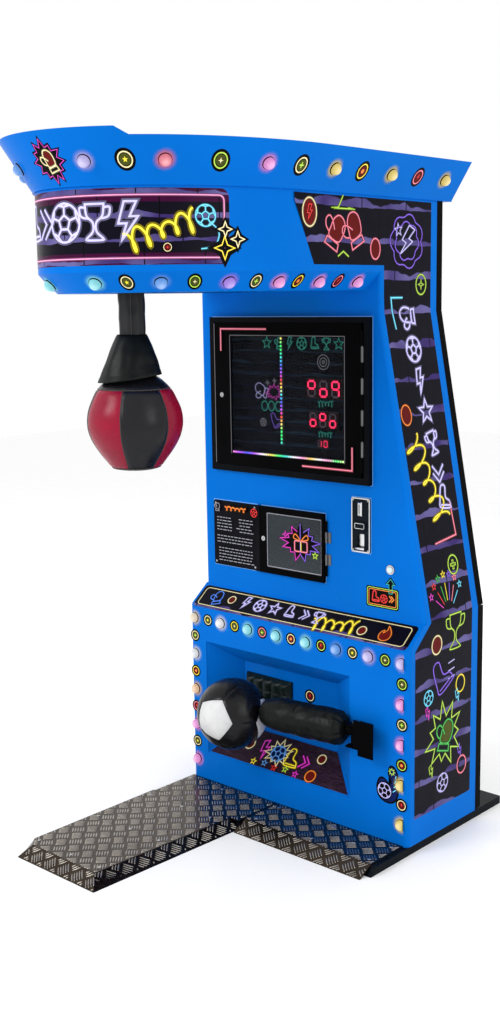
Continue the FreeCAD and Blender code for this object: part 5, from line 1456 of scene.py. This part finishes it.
def sleeve_cuff():
    """Flared vinyl skirt over the top of the bag, with folds, a hem and its own thickness."""
    count, levels, top = 144, 26, 1.388
    neck, flare, thick = 0.036, 0.042, 1.6 * MM

    def edge(angle):
        """Height of the hem: lower at the front left, drawn up at the right."""
        return 1.283 - 0.010 * math.cos(angle + math.radians(35))

    def radius(angle, t):
        fold = math.sin(7 * angle + 0.6) + 0.5 * math.sin(13 * angle + 2.0)
        gather = 0.5 * noise.noise(Vector((math.sin(angle) * 3, math.cos(angle) * 3, t * 5)))
        slant = math.sin(5 * angle + 4.5 * t)
        folded = (fold * 0.9 + slant * 1.5 + gather * 4.0) * MM
        return neck + flare * t ** 0.85 + folded * t * (1.2 - 0.4 * t)

    outer, inner = [], []
    for i in range(levels + 1):
        t = i / levels
        for rows, inset_by in ((outer, 0.0), (inner, thick)):
            row = []
            for angle in turns(count):
                z = top + (edge(angle) - top) * t
                hem = 0.8 * MM if t > 0.90 and inset_by == 0 else 0.0
                middle = (BAG_MID.x, BAG_MID.y - 0.002 - 0.010 * t)
                row.append(about(middle, radius(angle, t) + hem - inset_by, angle, z))
            rows.append(row)
    rows = outer + inner[::-1]
    verts = [point for row in rows for point in row]
    faces = [face[::-1] for face in band_faces(count, len(rows), closed=True)]
    piece = new_piece("cuff_skirt", verts, faces, FINISH["pad_black"], "punch_arm", "pad_black")
    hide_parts("sleeve_cuff")


def simulate(piece, pressure, cap, voxel, frames):
    """Swells a closed mesh with cloth pressure, moves no point further than cap, and keeps the result."""
    start = piece.modifiers.new("even", "REMESH")
    start.mode = "VOXEL"
    start.voxel_size = voxel
    apply_modifiers(piece)
    rest = [v.co.copy() for v in piece.data.vertices]
    cloth = piece.modifiers.new("swell", "CLOTH")
    cloth.settings.use_pressure = True
    cloth.settings.uniform_pressure_force = pressure
    cloth.settings.effector_weights.gravity = 0
    cloth.settings.quality = 5
    cloth.collision_settings.use_collision = False
    scene = bpy.context.scene
    for number in range(1, frames + 1):
        scene.frame_set(number)
    apply_modifiers(piece)
    for v, was in zip(piece.data.vertices, rest):
        move = v.co - was
        if move.length > cap:
            v.co = was + move * (cap / move.length)
    scene.frame_set(1)


def apply_modifiers(piece):
    """Puts the mesh that the modifiers make in place of the piece's own."""
    shown = bpy.context.evaluated_depsgraph_get()
    evaluated = piece.evaluated_get(shown)
    mesh = bpy.data.meshes.new_from_object(evaluated)
    old = piece.data
    piece.modifiers.clear()
    piece.data = mesh
    bpy.data.meshes.remove(old)


# Same black vinyl as the cuff's pad_black, made about three times lighter: painted sheen.
SLEEVE_SHEEN_LEATHER = leather("sleeve_leather_painted_sheen", (0.011, 0.011, 0.012, 1), 0.34, 0.24, 520)


def arm_sleeve():
    """Padded rectangular sleeve with a seam down one edge and soft dents across it."""
    low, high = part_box("arm_sleeve")
    middle = (low + high) / 2
    half_x, half_y = (high.x - low.x) / 2, (high.y - low.y) / 2
    count, levels = 120, 70
    power = 9.0

    def relief(angle, z):
        corner = abs(math.sin(2 * angle)) ** 6
        crease = noise.noise(Vector((math.sin(angle) * 1.5, math.cos(angle) * 1.5, z * 34)))
        return 1.0 * MM * crease - 0.5 * MM * corner

    def section(angle, narrow, z):
        c, s = math.cos(angle), math.sin(angle)
        reach = (abs(c / half_x) ** power + abs(s / half_y) ** power) ** (-1 / power)
        reach = reach * narrow + relief(angle, z)
        return Vector((middle.x + reach * c, middle.y + reach * s, z))

    def draw(t):
        end = min(t, 1 - t)
        return 1.02 - 0.12 * math.exp(-(end / 0.030) ** 2) + 0.10 * math.exp(-((t - 0.05) / 0.05) ** 2)

    foot, head = low.z + 1 * MM, high.z - 1 * MM
    shares = [i / levels for i in range(levels + 1)]
    verts, faces = join_rows([[section(angle, draw(t), foot + (head - foot) * t) for angle in turns(count)]
                              for t in shares])
    piece = new_piece("sleeve_pad", verts, faces, SLEEVE_SHEEN_LEATHER, "punch_arm", "pad_black")
    simulate(piece, pressure=3.0, cap=3 * MM, voxel=3 * MM, frames=14)
    piece.data.shade_smooth()
    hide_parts("arm_sleeve")
    seam = []
    for k in range(40):
        t = 0.03 + 0.94 * k / 39
        seam.append(section(math.radians(-46), draw(t) + 0.03, low.z + (high.z - low.z) * t))
    tube("sleeve_seam", seam, 1.1 * MM, PIPING, "punch_arm", "pad_black")


KICK_HINGE = Vector((0.246, -0.022, 0.320))
KICK_REST = math.radians(7)
ARM_ALONG = Vector((-math.cos(KICK_REST), -math.sin(KICK_REST), 0))
BALL_MID = centre_of("kick_ball")
BALL_R = (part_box("kick_ball")[1].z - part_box("kick_ball")[0].z) / 2


def kick_sleeve():
    """Padded sleeve on the kick arm: gathered at the hinge, wrinkled, drawn in round the ball."""
    side = Vector((-ARM_ALONG.y, ARM_ALONG.x, 0))
    up = Vector((0, 0, 1))
    start, length, radius = 0.031, 0.263, 0.048
    neck, neck_end, taper_from, seam_at = 0.026, 0.10, 0.74, 0.55
    clearance = 1.5 * MM
    count, levels = 128, 100
    rows = []
    for i in range(levels + 1):
        t = i / levels
        run = start + length * t
        base = radius
        if t < neck_end:
            base = neck + (radius - neck) * math.sin(t / neck_end * math.pi / 2) ** 0.7
        to_ball = max(0.0, (t - taper_from) / 0.26)
        base *= 1 - 0.26 * to_ball ** 2
        flat_back = 0.017 + 0.033 * min(1.0, max(0.0, (run - 0.046) / 0.026)) ** 0.7
        gather = math.exp(-t / neck_end)
        row = []
        for angle in turns(count):
            folds = math.sin(11 * angle + 0.7) + 0.6 * math.sin(17 * angle + 2.0)
            wrinkle = noise.noise(Vector((t * 9, math.sin(angle) * 1.4, math.cos(angle) * 1.4 + 3)))
            fine = noise.noise(Vector((t * 30, math.sin(angle) * 3.0, math.cos(angle) * 3.0)))
            seam = math.exp(-((t - seam_at) / 0.012) ** 2)
            r = base + folds * 1.6 * MM * gather + wrinkle * 2.2 * MM + fine * 0.8 * MM - seam * 1.6 * MM
            sideways = r * math.cos(angle)
            back = side.y * sideways
            if back > flat_back:
                sideways *= flat_back / back
            spot = KICK_HINGE + ARM_ALONG * run + side * sideways + up * (r * math.sin(angle))
            gap = (spot - BALL_MID).length
            if gap < BALL_R + clearance:
                spot = BALL_MID + (spot - BALL_MID) * ((BALL_R + clearance) / gap)
            row.append(spot)
        rows.append(row)
    verts, faces = join_rows(rows, True, False)
    far = len(verts)
    verts.append(BALL_MID - ARM_ALONG * (BALL_R + 1.0 * MM) + up * 0.020)
    last = (len(rows) - 1) * count
    faces += [[last + k, last + (k + 1) % count, far] for k in range(count)]
    piece = new_piece("kick_sleeve_pad", verts, faces, FINISH["pad_black"], "kick_arm", "pad_black")
    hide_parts("kick_sleeve")


def twelve_directions():
    """Outward directions of the twelve five-sided panels."""
    golden = (1 + math.sqrt(5)) / 2
    corners = []
    for a in (-1, 1):
        for b in (-golden, golden):
            corners += [Vector((0, a, b)), Vector((a, b, 0)), Vector((b, 0, a))]
    return [c.normalized() for c in corners]


def two_axes(first, near):
    """Matrix whose columns are first, the part of near at right angles to it, and their cross product."""
    first = first.normalized()
    across = (near - first * near.dot(first)).normalized()
    return Matrix((first, across, first.cross(across))).transposed()


def aimed_panels():
    """Directions of the panels, turned as in the photograph, their shared corners, and the white ones."""
    directions = twelve_directions()
    camera = bpy.context.scene.camera.matrix_world
    toward = (camera.translation - BALL_MID).normalized()
    right = camera.to_3x3().col[0]
    right = (right - toward * right.dot(toward)).normalized()
    seen = Matrix((right, toward.cross(right), toward)).transposed()
    panel, corner = Vector((-0.605, -0.185, 0.772)), Vector((0, -0.29, 0.957))
    far_corner = Vector((0.69, -0.26, 0.675))
    beside = sorted(directions, key=directions[0].angle)[1]
    third = next(d for d in directions if 1 < d.angle(beside) < 1.2 and 1 < d.angle(directions[0]) < 1.2)
    first_corner = (directions[0] + beside + third).normalized()
    turn = seen @ two_axes(panel, corner) @ two_axes(directions[0], first_corner).transposed()
    directions = [turn @ d for d in directions]
    corners = []
    for i, a in enumerate(directions):
        for j in range(i + 1, 12):
            for k in range(j + 1, 12):
                b, c = directions[j], directions[k]
                if a.angle(b) < 1.15 and b.angle(c) < 1.15 and a.angle(c) < 1.15:
                    corners.append(((a + b + c).normalized(), {i, j, k}))
    apart = [k for k in range(1, 12) if directions[k].angle(directions[0]) > 1.2]
    second = max(apart, key=lambda k: directions[k].dot(seen @ far_corner))
    apart = [k for k in apart if k != second and directions[k].angle(directions[second]) > 1.2]
    white = {0, second, min(apart, key=lambda k: directions[k].dot(toward))}
    return directions, corners, white


def kick_ball():
    """Twelve five-sided leather panels, each slightly crowned, with sunk seams between them."""
    directions, corners, white = aimed_panels()
    verts, faces, tones = [], [], []
    fine = 16
    for number, direction in enumerate(directions):
        ring_corners = [c for c, owners in corners if number in owners]
        side = (ring_corners[0] - direction * ring_corners[0].dot(direction)).normalized()
        third = direction.cross(side)
        ring_corners.sort(key=lambda c: math.atan2(c.dot(third), c.dot(side)))
        for k in range(5):
            a, b = ring_corners[k], ring_corners[(k + 1) % 5]
            index = {}
            for i in range(fine + 1):
                for j in range(fine + 1 - i):
                    u, v = i / fine, j / fine
                    w = 1 - u - v
                    spot = (direction * w + a * u + b * v).normalized()
                    from_edge = w * 0.079
                    depth = 2.0 * MM * math.exp(-(from_edge / 0.0030) ** 2)
                    crown = 0.5 * MM * (1 - (1 - w) ** 2)
                    creasing = 0.5 * MM * noise.noise(spot * 7)
                    index[i, j] = len(verts)
                    verts.append(BALL_MID + spot * (BALL_R - 0.8 * MM - depth + crown + creasing))
            for i in range(fine):
                for j in range(fine - i):
                    faces.append([index[i, j], index[i + 1, j], index[i, j + 1]])
                    if j < fine - i - 1:
                        faces.append([index[i + 1, j], index[i + 1, j + 1], index[i, j + 1]])
        tones += [int(number in white)] * (len(faces) - len(tones))
    black = leather("ball_black", (0.004, 0.004, 0.005, 1), 0.24, 0.24, 380)
    pale = leather("ball_white", (0.62, 0.62, 0.62, 1), 0.3, 0.25, 380)
    piece = new_piece("kick_ball_panels", verts, faces, [black, pale], "kick_arm", "ball_leather")
    for face, tone in zip(piece.data.polygons, tones):
        face.material_index = tone
    weld(piece)
    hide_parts("kick_ball")


def weld(piece):
    """Joins the vertices that lie on one another and turns all faces outwards."""
    bm = bmesh.new()
    bm.from_mesh(piece.data)
    bmesh.ops.remove_doubles(bm, verts=bm.verts, dist=0.02 * MM)
    bmesh.ops.recalc_face_normals(bm, faces=bm.faces)
    bm.to_mesh(piece.data)
    bm.free()


def kick_bumper():
    """Quilted pad: crowned cushions between sewn channels, with tufts where they cross."""
    low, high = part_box("kick_bumper")
    columns, rows_of = 5, 3
    nx, nz = 100, 66
    grid = {}
    verts, faces = [], []
    depth = high.y - low.y
    for i in range(nx + 1):
        for j in range(nz + 1):
            u, v = i / nx, j / nz
            edge = min(u * 1.4, (1 - u) * 1.4, v, 1 - v)
            border = 1 - math.exp(-(edge / 0.055) ** 1.5)
            quilt = abs(math.sin(math.pi * u * columns)) * abs(math.sin(math.pi * v * rows_of))
            crumple = noise.noise(Vector((u * 6, v * 5, 2.0)))
            fullness = 0.28 + 0.40 * border + 0.26 * border * quilt ** 0.55 + 0.04 * crumple * border
            y = high.y - depth * fullness
            grid[i, j] = len(verts)
            verts.append(Vector((low.x + (high.x - low.x) * u, y, low.z + (high.z - low.z) * v)))
    for i in range(nx):
        for j in range(nz):
            faces.append([grid[i, j], grid[i + 1, j], grid[i + 1, j + 1], grid[i, j + 1]])
    ring_of = [(i, 0) for i in range(nx)] + [(nx, j) for j in range(nz)]
    ring_of += [(i, nz) for i in range(nx, 0, -1)] + [(0, j) for j in range(nz, 0, -1)]
    back = []
    for key in ring_of:
        point = verts[grid[key]]
        back.append(len(verts))
        verts.append(Vector((point.x, high.y, point.z)))
    for k, key in enumerate(ring_of):
        n = (k + 1) % len(ring_of)
        faces.append([grid[ring_of[n]], grid[key], back[k], back[n]])
    faces.append(back)
    quilted = leather("bumper_leather", (0.004, 0.012, 0.010, 1), 0.34, 0.25, 520)
    piece = new_piece("bumper_pad", verts, faces, quilted, "cabinet", "pad_black")
    weld(piece)
    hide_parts("kick_bumper")


# ---- put it together ------------------------------------------------------------------------
def dress_nodes():
    """Gives every CAD piece its finish."""
    special = {"prize_door_window": clear("prize_glass", (0.034, 0.042, 0.048, 1), 0.72, 0.1)}
    for name, node in NODES.items():
        node.data.materials.clear()
        node.data.materials.append(special.get(name) or FINISH[SLOT_OF[name]])


def light_strips():
    """Small lamps along the two light bars of the display."""
    low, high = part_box("led_light_bars")
    red, yellow, green = (1, 0.03, 0.05, 1), (1, 0.75, 0.1, 1), (0.05, 0.9, 0.2, 1)
    cyan, blue, violet, white = (0.05, 0.7, 0.7, 1), (0.05, 0.12, 1, 1), (0.5, 0.1, 1, 1), (1, 0.9, 1, 1)
    pink = (1, 0.3, 0.7, 1)
    spots = []
    corners = [v.co for v in NODES["led_light_bars"].data.vertices]
    upright = sorted(set(round(corner.x, 4) for corner in corners if corner.z > low.z + 0.05))
    middle = (upright[0] + upright[-1]) / 2
    base = min(corner.z for corner in corners if corner.z > low.z + 0.012)
    z = base + 0.006
    while z < high.z - 0.004:
        spots.append((middle, z))
        z += 0.0105
    colours = [cyan, green, green, yellow, red, violet, blue, cyan, yellow, red, violet, blue, cyan, green,
               green, yellow]
    strip_dots("light_strip_upright", spots, low.y, rainbow("strip_upright", 2, base, high.z, colours))
    spots = []
    x = low.x + 0.006
    while x < high.x - 0.004:
        spots.append((x, low.z + 0.004))
        x += 0.0085
    colours = [pink, violet, blue, violet, white, yellow, green, cyan, white, pink, yellow, white, pink,
               green, (0.8, 1, 0.4, 1)]
    strip_dots("light_strip_foot", spots, low.y, rainbow("strip_foot", 0, low.x, high.x, colours))


def strip_dots(name, spots, y, material):
    """Small domes at the spots (x, z) on a bar whose face is at y."""
    verts, faces = [], []
    count = 10
    for x, z in spots:
        base = len(verts)
        for radius, out in ((3.2, 0.0), (2.8, 1.2), (1.5, 2.2), (0.3, 2.5)):
            for angle in turns(count):
                verts.append(Vector((x + radius * MM * math.cos(angle), y - out * MM,
                                     z + radius * MM * math.sin(angle))))
        faces += band_faces(count, 4, base)
    new_piece(name, verts, faces, material, "cabinet", "light_bar")


def add_floor():
    """Pale studio floor, larger than the view."""
    size, steps = 9.0, 12
    verts = [Vector((size * (i / steps - 0.5) * 2, size * (j / steps - 0.5) * 2, -0.2 * MM))
             for i in range(steps + 1) for j in range(steps + 1)]
    row = steps + 1
    faces = [[i * row + j, (i + 1) * row + j, (i + 1) * row + j + 1, i * row + j + 1]
             for i in range(steps) for j in range(steps)]
    mesh = bpy.data.meshes.new("floor")
    mesh.from_pydata(verts, [], faces)
    mesh.materials.append(surface("floor_pale", (0.97, 0.97, 0.97, 1), 0.6, spread=0.01))
    floor = bpy.data.objects.new("floor", mesh)
    bpy.context.scene.collection.objects.link(floor)


add_camera()
add_studio()
add_floor()
dress_nodes()
lamps_and_badges()
side_print("right_print", on_right, False)
side_print("left_print", on_left, True)
marquee()
crown_sticker()
console_print()
display_print()
trim_and_edge_highlights()
lit_digits()
light_strips()
prize_print()
rules_print()
start_sign()
kick_sticker()
niche_print()
treadplates()
punch_bag()
sleeve_cuff()
arm_sleeve()
kick_sleeve()
kick_ball()
kick_bumper()
